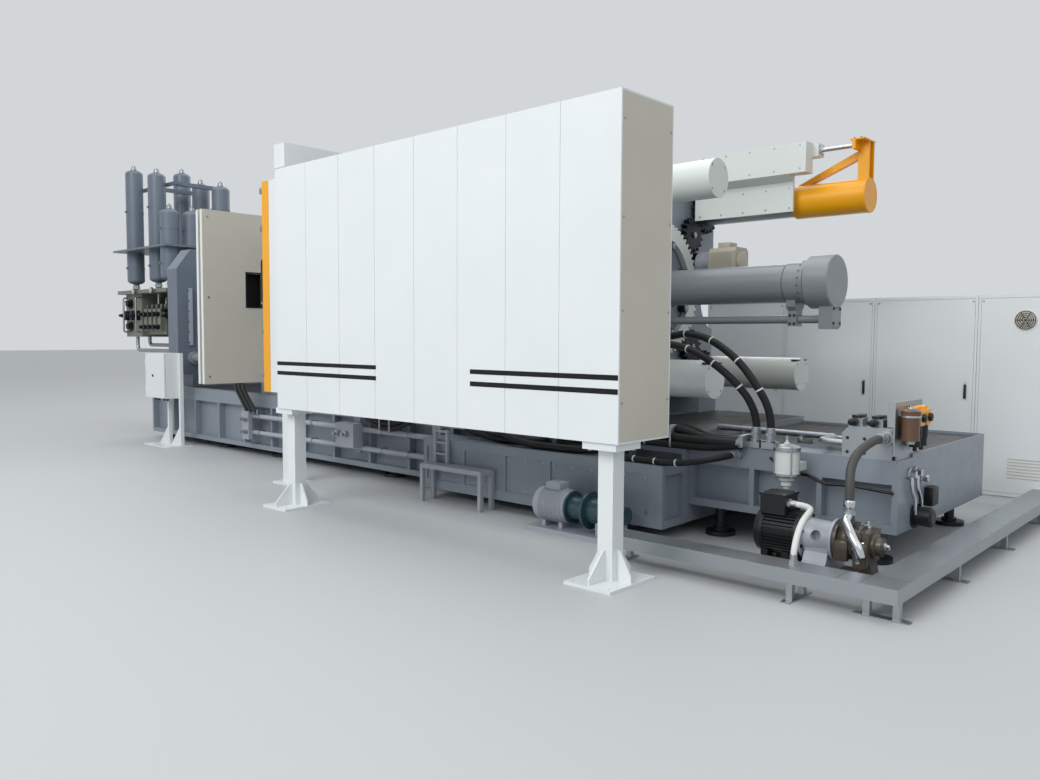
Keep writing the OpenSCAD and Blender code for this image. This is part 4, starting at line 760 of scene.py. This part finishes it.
shotValves = {"finish": "blackenedSteel", "parts": []}
for x in (-5.915, -5.75, -5.585, -5.42):  # four columns of cartridge valves
    shotValves["parts"] += [
        (addTurned, (x, -0.78, z), "-y", stepped(0.04, 0.05, 0.028, 0.055, 0.11), 24)
        for z in (1.74, 1.95)]
    shotValves["parts"].append((addBox, (x - 0.035, -0.72, 2.04), (x + 0.035, -0.62, 2.12), 0.006))
shotValves["parts"] += [
    (addTurned, (-6.5, -0.76, z), "-y", stepped(0.08, 0.03, 0.05, 0.03, 0.08), 28)
    for z in (1.76, 2.14)]
for x in (-6.62, -6.38, -6.2):  # solenoid valves on the big block
    shotValves["parts"] += [
        (addBox, (x - 0.045, -0.83, 1.86), (x + 0.045, -0.76, 2.02), 0.008),
        (addTurned, (x, -0.83, 1.94), "-y", stepped(0.03, 0.06, 0.02, 0.065, 0.09), 20)]

shotPipes = {"finish": "zincPlate", "smooth": 50, "parts": [
    (addPipe, [(-6.5, -0.66, 1.59), (-6.5, -0.66, 1.35), (-5.15, -0.66, 1.35),
        (-5.15, -0.66, 0.62), (-4.99, -0.66, 0.62)], 0.03),
    (addPipe, [(-6.3, -0.54, 1.59), (-6.3, -0.54, 1.44), (-5.24, -0.54, 1.44),
        (-5.24, -0.54, 0.5), (-4.99, -0.54, 0.5)], 0.03),
    (addPipe, [(-5.6, -0.56, 2.13), (-5.6, -0.56, 2.22), (-5.45, -0.56, 2.22),
        (-5.45, -0.56, 2.31)], 0.022),
    (addPipe, [(-5.8, -0.60, 2.13), (-5.8, -0.60, 2.31)], 0.022)] + [
    (addPipe, [(x, -0.755, high), (x, -0.76 - out, high), (x, -0.76 - out, 1.66),
        (x, -0.755, 1.66)], 0.013)
    for x, out, high in ((-6.66, 0.07, 2.24), (-6.57, 0.1, 2.18), (-6.14, 0.08, 2.24))]}

shotSideValves = {"finish": "motorBlack", "parts": [
    (addBox, (-5.335, -0.72, 1.88), (-5.17, -0.56, 2.06), 0.008)] + [
    (addTurned, (-5.25, -0.72, z), "-y", stepped(0.032, 0.05, 0.022, 0.055, 0.1), 20)
    for z in (1.92, 2.01)] + [
    (addBox, (-5.31, -0.69, 2.06), (-5.19, -0.6, 2.15), 0.008)]}

shotPlateSkin = {"finish": "bellGrey", "smooth": None, "parts": [
    (addBox, (-4.1615, -0.8965, 1.459), (-4.1185, -0.85, 2.3215))]}

pressureGauges = {"finish": "hardChrome", "parts": [
    (addTurned, (x, -0.86, 2.33), "-y",
        [(0, 0.012), (0.03, 0.012), (0.03, 0.05), (0.06, 0.05), (0.062, 0.044)], 28)
    for x in (-6.05, -5.4)]}

meshPiece("bottleBands", "slateEnamel", bottleBands, 35)
meshPiece("bottleValves", "turnedSteel", bottleValves, 35)
partsPiece("shotBlockValves", shotValves)
partsPiece("shotPipes", shotPipes)
partsPiece("shotSideValves", shotSideValves)
partsPiece("shotPlateSkin", shotPlateSkin)
partsPiece("pressureGauges", pressureGauges)
boltField("shotFlangeBolts", "blackenedSteel", circleSpots((-4.59, 0, 2.0), "-x", 0.38, 16),
    0.022, 0.022)
boltField("shotFrameBolts", "blackenedSteel",
    gridSpots((-4.14,), (-0.895,), steps(1.5, 2.28, 6), "-y"), 0.010, 0.010)
boltField("manifoldScrews", "zincPlate", gridSpots((-6.66, -6.14), (-0.76,), (1.62, 2.26), "-y")
    + gridSpots((-6.0, -5.36), (-0.7,), (1.65, 2.09), "-y"), 0.012, 0.010)
print("shot end dressed")


wallEdges = {"finish": "whitePowderCoat", "smooth": None, "parts": [
    (addBox, (x, -2.0212, 1.012), (x + 0.05, -2.0195, 3.128)) for x in (-1.65, -1.55)]}

window = {"left": -1.455, "right": -1.225, "low": 1.955, "high": 2.405, "rim": 0.015,
    "out": -1.495, "face": -1.5, "deep": -1.588}
# painted shade: black sheets behind the window stand for the dark inside
windowShade = {"finish": "mattBlackFilm", "smooth": None, "parts": [
    (addBox, (-1.5898, -1.438, 1.972), (-1.587, -1.242, 2.388))] + [
    (addBox, (window["deep"], y, 1.972), (-1.502, y + 0.002, 2.388))
    for y in (-1.4398, -1.2422)]}


def windowFrame(bm):  # four bars round the look-out window
    y0, y1, z0, z1, rim = (window[k] for k in ("left", "right", "low", "high", "rim"))
    bars = ((y0, y0 + rim, z0, z1), (y1 - rim, y1, z0, z1),
        (y0 + rim, y1 - rim, z0, z0 + rim), (y0 + rim, y1 - rim, z1 - rim, z1))
    for a, b, low, high in bars:
        addBox(bm, (window["face"], a, low), (window["out"], b, high))


handle = {"x": 0.05, "out": -0.021, "y": -2.09, "ends": (2.426, 1.964)}


def doorHandleSkin(bm):
    x, out, y, (high, low) = (handle[k] for k in ("x", "out", "y", "ends"))
    addPipe(bm, [(x, y, high), (out, y, high), (out, y, low), (x, y, low)], 0.021, 16)
    for z in handle["ends"]:
        addTurned(bm, (x, y, z), "-x", disc(0.034, 0.008), 24)


def doorBrackets(bm):  # lugs on the leading edge, each with a bolt
    for z in (1.15, 1.62, 2.72, 3.12):
        addBox(bm, (0.012, -2.139, z), (0.052, -2.128, z + 0.07), 0.002)
        addTurned(bm, (0.03, -2.138, z + 0.035), "-y", disc(0.01, 0.008), 6)


partsPiece("wallEdges", wallEdges)
partsPiece("windowShade", windowShade)
meshPiece("windowFrame", "blackenedSteel", windowFrame)
meshPiece("doorHandleSkin", "motorBlack", doorHandleSkin, 40, "door")
meshPiece("doorBrackets", "zincPlate", doorBrackets, 40, "door")
boltField("wallScrews", "zincPlate", gridSpots((-1.5,), (-1.95, -1.15), (1.1, 2.07, 3.04), "x"),
    0.009, 0.005, 12)
print("walls and door dressed")


# near-black skins on the base top: old oil, and painted shade under the hoses and behind the guard
deckOilAndShadeSkins = {"finish": "oiledDeck", "smooth": None, "parts": [
    (addBox, (4.72, -0.745, 0.7652), (6.316, 1.036, 0.768)),
    (addBox, (3.72, -1.05, 0.8302), (4.695, 1.05, 0.833)),
    (addBox, (-4.1, -0.95, 0.8302), (-1.95, 0.95, 0.833)),
    (addBox, (-1.4, -0.95, 0.8302), (0.35, 0.95, 0.833))]}

deckPipes = {"finish": "zincPlate", "smooth": 50, "parts": [
    (addPipe, [(4.73, -0.62, 0.85), (5.75, -0.62, 0.85), (5.75, -0.95, 0.85),
        (5.965, -0.95, 0.85)], 0.024),
    (addPipe, [(4.73, -0.5, 0.83), (5.85, -0.5, 0.83), (5.85, -0.86, 0.83),
        (5.965, -0.86, 0.83)], 0.018),
    (addBox, (4.95, -0.66, 0.768), (4.99, -0.46, 0.83), 0.003),
    (addBox, (5.45, -0.66, 0.768), (5.49, -0.46, 0.83), 0.003)]}


def basePipeClamps(bm):  # a clamp round each pipe along the base, and its foot
    for x in (-1.7, -1.1, -0.5, 0.85, 1.3):
        for z in (0.33, 0.545):
            addTurned(bm, (x, -1.16, z), "x", disc(0.036, 0.03), 24)
            addBox(bm, (x, -1.16, z - 0.036), (x + 0.03, -1.1, z + 0.036))


# Short hoses that brackets hold: under the side wall, behind the left post, on deck and tank.
heldHoses = {
    "wall": {"radius": 0.023, "routes": [
        ((x, -1.4, 1.06), (x, -1.4, 0.94), (x - 0.03, -1.28, 0.74), (x - 0.05, -1.19, 0.58))
        for x in (-1.9, -1.8, -1.7)]},
    "edge": {"radius": 0.024, "routes": [
        ((0.42 + 0.05 * i, -1.07, 0.855), (0.46 + 0.05 * i, -1.135, 0.85),
            (0.6 + 0.05 * i, -1.2, 0.7 + 0.02 * i), (0.9, -1.24, 0.6 + 0.055 * i),
            (1.15, -1.24, 0.6 + 0.055 * i), (1.42 - 0.04 * i, -1.2, 0.7 + 0.03 * i),
            (1.56 - 0.04 * i, -1.135, 0.85), (1.6 - 0.04 * i, -1.07, 0.855)) for i in range(3)]},
    "deck": {"radius": 0.034, "sides": 16, "routes": [
        ((3.755, -0.97, 0.868), (3.95, -0.99, 0.868), (4.3, -1.05, 0.868), (4.62, -1.09, 0.868),
            (4.88, -1.095, 0.8), (5.21, -1.07, 0.8)),
        ((3.62, -1.08, 0.775), (3.62, -1.215, 0.775), (3.88, -1.215, 0.79), (4.3, -1.14, 0.84),
            (4.62, -1.145, 0.8), (4.95, -1.14, 0.79), (5.21, -1.11, 0.79)),
        ((3.45, -1.08, 0.7), (3.45, -1.215, 0.7), (3.75, -1.215, 0.7), (4.3, -1.145, 0.742),
            (4.65, -1.145, 0.742), (4.95, -1.14, 0.742), (5.21, -1.11, 0.785)),
        ((3.755, -0.87, 0.868), (3.95, -0.89, 0.868), (4.4, -0.97, 0.868), (4.68, -0.985, 0.862),
            (4.85, -0.99, 0.8), (5.21, -1.02, 0.8)),
        ((2.45, -1.08, 0.775), (2.45, -1.22, 0.775), (2.75, -1.3, 0.74), (3.05, -1.36, 0.66),
            (3.3, -1.37, 0.636), (3.65, -1.36, 0.636), (3.98, -1.32, 0.645), (3.98, -1.08, 0.65)),
        ((2.25, -1.08, 0.7), (2.25, -1.22, 0.7), (2.5, -1.26, 0.66), (2.75, -1.27, 0.636),
            (3.05, -1.27, 0.636), (3.25, -1.22, 0.66), (3.25, -1.08, 0.68))]},
}
sideSockets = ((3.62, 0.775), (3.45, 0.7), (2.45, 0.775), (3.98, 0.65), (2.25, 0.7), (3.25, 0.68))
socketShape = capped(0.042, 0.05, 0.035, 0.058)


def heldHosePiece(name, finishName, group):
    def build(bm):
        for route in group["routes"]:
            addPipe(bm, route, group["radius"], group.get("sides", 12))
    meshPiece(name, finishName, build, 50)


hoseBrackets = {"finish": "zincPlate", "smooth": 40, "parts": [
    (addBox, (-1.99, -1.45, 1.06), (-1.65, -1.35, 1.072), 0.003)] + [
    (addTurned, (x, -1.4, 1.03), "z", stepped(0.031, 0.03, 0.02, 0.042, 0.07), 6)
    for x in (-1.9, -1.8, -1.7)] + [
    (addBox, (x, -1.27, 0.57), (x + 0.02, -1.1, 0.76), 0.003) for x in (0.93, 1.1)] + [
    (addBox, (5.2, -1.15, 0.765), (5.236, -0.99, 0.86), 0.004)] + [
    (addTurned, (5.17, y, z), "x", [(0, 0.037), (0.006, 0.041), (0.03, 0.041)], 8)
    for y, z in ((-1.07, 0.8), (-1.02, 0.8), (-1.11, 0.79))] + [
    (addBox, (x, -1.185, 0.72), (x + 0.016, -1.1, 0.9), 0.002) for x in (4.35, 4.6)] + [
    (addTurned, (3.755, y, 0.868), "x", capped(0.042, 0.04, 0.035, 0.048), 8)
    for y in (-0.97, -0.87)] + [
    (addTurned, (x, -1.08, z), "-y", socketShape, 8) for x, z in sideSockets] + [
    (addBox, (x, -1.085, 0.828), (x + 0.18, -1.03, 0.885), 0.004) for x in (0.38, 1.48)]}

baseFittings = {"finish": "zincPlate", "parts": [
    (addTurned, (x, y, z - 0.004), (0, 0.3, 1), stepped(0.032, 0.03, 0.026, 0.035, 0.055), 6)
    for x, y, z in [route[-1] for route in heldHoses["wall"]["routes"]]] + [
    (addTurned, (x, -1.32, 0.5), "-y", stepped(0.035, 0.04, 0.022, 0.045, 0.08), 24)
    for x in (0.26, 0.42)] + [
    (addTurned, (x, -1.25, z), "-y", stepped(0.026, 0.03, 0.016, 0.03, 0.06), 6)
    for x in (-1.96, -1.88) for z in (0.34, 0.5)]}

partsPiece("deckOilAndShadeSkins", deckOilAndShadeSkins)
partsPiece("deckPipes", deckPipes)
meshPiece("basePipeClamps", "zincPlate", basePipeClamps, 40)
heldHosePiece("wallHosesHeld", "greyGuardHose", heldHoses["wall"])
heldHosePiece("edgeHosesHeld", "blackRubber", heldHoses["edge"])
heldHosePiece("deckHosesHeld", "blackRubber", heldHoses["deck"])
partsPiece("hoseBrackets", hoseBrackets)
partsPiece("baseFittings", baseFittings)
boltField("tankCoverBolts", "zincPlate",
    gridSpots([1.98 + 0.54 * i + dx for i in range(5) for dx in (0.0, 0.21, 0.42)], (-1.444,),
        (0.215, 0.495), "-y"), 0.008, 0.006)
print("base dressed")


pump = {"x": 5.6, "y": -1.53, "z": 0.27, "bell": 5.93, "set": 6.148}


def motorTrim(bm):  # fan grille and lifting eye
    x, y, z = pump["x"], pump["y"], pump["z"]
    for r in steps(0.03, 0.11, 5):
        addLoop(bm, (x - 0.001, y, z), "x", r, 0.004, 36)
    addSpokes(bm, (x - 0.002, y, z), 0.115, 8, 0.004, 6, "yz")
    addTurned(bm, (x + 0.265, y, z + 0.15), "z", disc(0.014, 0.03), 16)
    addLoop(bm, (x + 0.265, y, z + 0.2), "y", 0.024, 0.006)


def plug(place, direction, wide, thin, step, end):  # hexagon with a thinner neck
    return (addTurned, place, direction, stepped(wide, step, thin, step, end), 6)


pumpChrome = {"finish": "hardChrome", "parts": [
    (addPipe, [(6.36, -1.7, 0.22), (6.345, -1.7, 0.28), (6.29, -1.68, 0.35), (6.22, -1.6, 0.42),
        (6.215, -1.555, 0.44)], 0.03, 16),
    (addTurned, (6.215, -1.53, 0.49), "z", [(0, 0.0335), (0.006, 0.0375), (0.05, 0.0375),
        (0.056, 0.0335)], 24),
    (addTurned, (6.33, -1.6, 0.26), "-y", stepped(0.05, 0.04, 0.04, 0.045, 0.07), 6),
    plug((6.34, -1.64, 0.19), "-y", 0.03, 0.018, 0.03, 0.06),
    plug((6.438, -1.53, 0.27), "x", 0.03, 0.018, 0.02, 0.04),
    plug((6.32, -1.49, 0.36), "z", 0.024, 0.014, 0.03, 0.06)]}


def pumpCasting(bm):  # plunger bosses round the shaft, side flange and two lugs
    for a in steps(-0.6, 3.7, 6):
        addTurned(bm, (6.2, pump["y"] + 0.085 * math.cos(a), pump["z"] + 0.085 * math.sin(a)), "x",
            [(0, 0.028), (0.012, 0.034), (0.06, 0.034), (0.07, 0.026)], 20)
    addTurned(bm, (6.29, pump["y"] - 0.09, 0.33), "-y", capped(0.052, 0.03, 0.044, 0.036), 28)
    addBox(bm, (6.16, -1.66, 0.16), (6.26, -1.6, 0.3), 0.02)
    addBox(bm, (6.30, -1.69, 0.14), (6.385, -1.63, 0.30), 0.014)


meshPiece("motorTrim", "motorBlack", motorTrim, 35)
partsPiece("pumpChrome", pumpChrome)
meshPiece("pumpCasting", "pumpBrown", pumpCasting, 35)
boltField("bellBolts", "blackenedSteel",
    circleSpots((pump["bell"] + 0.018, pump["y"], pump["z"]), "x", 0.14, 8, 0.5)
    + circleSpots((pump["set"] + 0.024, pump["y"], pump["z"]), "x", 0.115, 6, 0.5), 0.010, 0.012)
boltField("footBolts", "zincPlate",
    gridSpots((5.985, 6.095), (pump["y"] - 0.162, pump["y"] + 0.162), (0.076,), "z"), 0.010, 0.014)
boltField("terminalScrews", "zincPlate", gridSpots((5.65, 5.81), (-1.63, -1.45), (0.54,), "z"),
    0.006, 0.004, 12)


bowl = {"x": 5.645, "y": -1.255, "low": 0.605, "rods": 0.092,
    "rodShape": [(0, 0.010), (0.012, 0.010), (0.012, 0.005), (0.205, 0.005), (0.205, 0.010),
        (0.218, 0.010)]}


def bowlRods(bm):  # four tie rods, the knob on top and the drain plug
    x, y, low = bowl["x"], bowl["y"], bowl["low"]
    for k in range(4):
        a = math.pi / 4 + math.pi * k / 2
        foot = (x + bowl["rods"] * math.cos(a), y + bowl["rods"] * math.sin(a), low + 0.006)
        addTurned(bm, foot, "z", bowl["rodShape"], 10)
    addTurned(bm, (x, y, low + 0.27), "z", stepped(0.014, 0.012, 0.006, 0.016, 0.03), 12)
    addTurned(bm, (x, y, low - 0.022), "z", disc(0.058, 0.016), 6)


def bowlCap(bm):  # metal cap and foot ring
    x, y, low = bowl["x"], bowl["y"], bowl["low"]
    addTurned(bm, (x, y, low + 0.188), "z",
        [(0, 0.0965), (0.028, 0.0965), (0.041, 0.0745), (0.047, 0.03)], 48)
    addTurned(bm, (x, y, low), "z",
        [(-0.001, 0.083), (0.011, 0.0965), (0.026, 0.0965), (0.026, 0.08)], 48)


meshPiece("bowlRods", "turnedSteel", bowlRods, 35)
meshPiece("bowlCap", "turnedSteel", bowlCap, 35)


handwheel = {"x": 6.26, "y": -0.9, "z": 1.1, "reach": 0.035,
    "stem": [(0, 0.036), (0.03, 0.036), (0.03, 0.018), (0.08, 0.018), (0.08, 0.008), (0.11, 0.008)]}
solenoid = [(0, 0.026), (0.055, 0.026), (0.06, 0.02), (0.085, 0.02), (0.09, 0.012), (0.1, 0.012)]


def solenoids(bm):  # coils at both ends of two valves, and the handwheel
    for x in (6.035, 6.175):
        addTurned(bm, (x, -1.012, 1.015), "-y", solenoid, 24)
        addTurned(bm, (x, -0.848, 1.015), "y", solenoid, 24)
        addBox(bm, (x - 0.03, -1.0, 1.03), (x + 0.03, -0.86, 1.062), 0.006)
    x, y, z = (handwheel[k] for k in "xyz")
    addTurned(bm, (x, y, 0.985), "z", handwheel["stem"], 24)
    addSpokes(bm, (x, y, z), handwheel["reach"], 5, 0.009, 8, "xy")


panelValves = {"finish": "motorBlack", "parts": []}
for y in (-0.845, -0.715):
    panelValves["parts"] += [
        (addTurned, (6.392, y, 0.85), "z", stepped(0.038, 0.06, 0.043, 0.064, 0.148), 24),
        (addTurned, (6.392, y, 0.82), "z", disc(0.014, 0.03), 16),
        (addTurned, (6.44, y, 1.055), "x", capped(0.03, 0.02, 0.024, 0.024), 24)]

panelChrome = {"finish": "hardChrome", "parts": [  # ring and knob of the filter bowl, gauge
    (addTurned, (6.41, -1.0, 1.068), "z", band(0.065, 0.0665, 0.014), 40),
    (addTurned, (6.41, -1.0, 1.12), "z", stepped(0.03, 0.012, 0.012, 0.016, 0.03), 24),
    (addTurned, (6.342, -0.61, 1.03), "x",
        [(0, 0.012), (0.03, 0.012), (0.03, 0.036), (0.056, 0.036), (0.058, 0.032)], 32)]}

panelBrown = {"finish": "filterBrown", "parts": [
    (addTurned, (6.41, -1.0, 0.885), "z", [(0.024, 0.057), (0.024, 0.0592), (0.185, 0.0592),
        (0.185, 0.0652), (0.226, 0.0652), (0.241, 0.041)], 48)]}

panelYellow = {"finish": "safetyYellow", "parts": []}
for y in (-0.89, -0.76):  # coils on the two valves
    panelYellow["parts"] += [
        (addBox, (6.341, y - 0.001, 0.999), (6.441, y + 0.091, 1.111), 0.005),
        (addBox, (6.35, y + 0.02, 1.11), (6.42, y + 0.07, 1.135), 0.004)]

tailFittings = {"finish": "hardChrome", "parts": [
    plug((6.355, y, z), "x", r + 0.012, r, 0.02, 0.06)
    for y, z, r in ((-0.86, 0.66, 0.03), (-0.74, 0.66, 0.03), (-0.6, 0.6, 0.024))] + [
    (addPipe, [(6.385, y, 0.655), (6.385, y, 0.55), (6.385, y + 0.08, 0.47),
        (6.385, y + 0.1, 0.36)], 0.014) for y in (-0.86, -0.74)]}

tailBlack = {"finish": "motorBlack", "parts": [
    (addTurned, (6.355, -0.7, 0.34), "x", [(0, 0.09), (0.016, 0.09), (0.016, 0.07),
        (0.12, 0.07), (0.135, 0.05)]),
    (addBox, (6.355, -0.5, 0.38), (6.42, -0.36, 0.52), 0.01),
    (addPipe, [(5.72, -1.062, 0.6), (5.86, -1.062, 0.55), (6.05, -1.062, 0.56),
        (6.33, -1.062, 0.54)], 0.011),
    (addPipe, [(5.42, -1.062, 0.7), (5.56, -1.062, 0.6), (5.72, -1.062, 0.6)], 0.011)]}

# The hexagons that the two big hoses screw into.
deckHoseCollars = {"finish": "zincPlate", "parts": [
    (addTurned, (x, -1.02, 0.812), "z", stepped(0.046, 0.014, 0.038, 0.016, 0.034), 6)
    for x in (5.28, 5.4)]}

meshPiece("solenoids", "motorBlack", solenoids, 35)
partsPiece("panelValves", panelValves)
partsPiece("panelChrome", panelChrome)
partsPiece("panelBrown", panelBrown)
partsPiece("panelYellow", panelYellow)
partsPiece("tailFittings", tailFittings)
partsPiece("tailBlack", tailBlack)
partsPiece("deckHoseCollars", deckHoseCollars)
boltField("manifoldBolts", "blackenedSteel", gridSpots((6.0, 6.12), (-1.05,), (0.8, 0.9), "-y")
    + gridSpots((5.24, 5.32, 5.36, 5.44), (-1.055,), (0.812,), "z"), 0.008, 0.008)
print("pump group and valves dressed")


lube = {"y": -1.7, "z": 0.22, "fins": steps(3.76, 3.96, 12), "motor": 4.021}
lubeTrim = {"finish": "bellGrey", "parts": [
    (addTurned, (x, lube["y"], lube["z"]), "x", band(0.139, 0.146, 0.006), 40)
    for x in lube["fins"]] + [
    (addBox, (3.785, -1.765, 0.35), (3.935, -1.635, 0.412), 0.008)]}
lubeMotor = {"finish": "motorTeal", "parts": [
    (addTurned, (lube["motor"], lube["y"], lube["z"]), "x",
        [(0, 0.131), (0.018, 0.131), (0.018, 0.097), (0.09, 0.091), (0.18, 0.097), (0.18, 0.151),
            (0.205, 0.151), (0.205, 0.105), (0.42, 0.101), (0.43, 0.077), (0.541, 0.071)], 48)]}

controlLock = {"finish": "blackenedSteel", "parts": [
    (addTurned, (-3.89, -1.583, 1.025), "-y", stepped(0.017, 0.004, 0.012, 0.006, 0.01), 24),
    (addBox, (-3.895, -1.598, 1.01), (-3.885, -1.592, 1.04), 0.002)]}
cableGlands = {"finish": "motorBlack", "parts": [
    (addTurned, (x, -1.47, 0.7), "-z", stepped(0.022, 0.014, 0.015, 0.018, 0.04), 6)
    for x in (-4.05, -3.95, -3.78, -3.68)]}

cabinet = {"bays": [3.04 + 0.99 * i for i in range(4)], "fan": (6.42, 2.052, 1.786)}


def cabinetTrim(bm):  # door handles, and the grille of the fan
    for x in cabinet["bays"]:
        addBox(bm, (x + 0.885, 2.05, 1.02), (x + 0.905, 2.072, 1.16), 0.004)
    for k in range(4):
        addLoop(bm, cabinet["fan"], "y", 0.03 + 0.018 * k, 0.003, 36)
    addSpokes(bm, cabinet["fan"], 0.086, 6, 0.003, 6)


def cabinetVents(bm):  # louvres at each door's foot, and the fan's rim
    for x in cabinet["bays"]:
        for z in steps(0.28, 0.46, 7):
            addBox(bm, (x + 0.3, 2.063, z), (x + 0.69, 2.069, z + 0.008))
    addTurned(bm, (6.42, 2.07, 1.786), "-y", capped(0.095, 0.01, 0.088, 0.014), 48)


partsPiece("lubeTrim", lubeTrim)
partsPiece("lubeMotor", lubeMotor)
partsPiece("controlLock", controlLock, "box_door")
partsPiece("cableGlands", cableGlands)
meshPiece("cabinetTrim", "blackenedSteel", cabinetTrim, 35)
meshPiece("cabinetVents", "beigePowderCoat", cabinetVents, 35)
boltField("cabinetScrews", "zincPlate",
    gridSpots([x + dx for x in cabinet["bays"] for dx in (0.045, 0.945)], (2.068,), (1.97,), "-y"),
    0.007, 0.004, 12)
boltField("trayScrews", "zincPlate", gridSpots(steps(4.78, 6.46, 9), (-2.185, -1.995), (0.2,), "z")
    + gridSpots((6.555, 6.745), steps(-1.8, 1.95, 13), (0.2,), "z"), 0.006, 0.003, 12)
print("small units dressed")


backs = {
    "rear_guard": {"panels": 7, "foot": 1.03, "screws": (1.08, 2.07, 3.06)},
    "cabinet": {"panels": 4, "foot": 0.12, "screws": (0.18, 1.06, 1.95)},
}


def seamPlaces(nodeName):  # X of the seams on a node's back, then the back's Y and top
    low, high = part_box(nodeName)
    return steps(low[0], high[0], backs[nodeName]["panels"] + 1)[1:-1], high[1], high[2]


def backSeams(bm):  # a narrow strip where two panels meet
    for nodeName, look in backs.items():
        seams, back, top = seamPlaces(nodeName)
        for x in seams:
            addBox(bm, (x - 0.002, back - 0.001, look["foot"]),
                (x + 0.002, back + 0.0006, top - 0.02))


backSpots = []
for nodeName, look in backs.items():
    seams, back, top = seamPlaces(nodeName)
    besides = [x + side for x in seams for side in (-0.045, 0.045)]
    backSpots += gridSpots(besides, (back,), look["screws"], "y")
meshPiece("backSeams", "slateEnamel", backSeams)
boltField("backScrews", "zincPlate", backSpots, 0.009, 0.005, 12)
print("backs panelled")


floor = {"colour": "#B9BCBE", "roughness": 0.55, "reach": 90.0}


def makeFloor():
    material = bpy.data.materials.new("paleFloor")
    material.use_nodes = True
    shader = material.node_tree.nodes["Principled BSDF"]
    shader.inputs["Base Color"].default_value = hexColour(floor["colour"])
    shader.inputs["Roughness"].default_value = floor["roughness"]
    mesh = bpy.data.meshes.new("floorPlane")
    r = floor["reach"]
    mesh.from_pydata([(-r, -r, 0), (r, -r, 0), (r, r, 0), (-r, r, 0)], [], [(0, 1, 2, 3)])
    mesh.materials.append(material)
    plane = bpy.data.objects.new("floorPlane", mesh)
    scene.collection.objects.link(plane)


makeFloor()
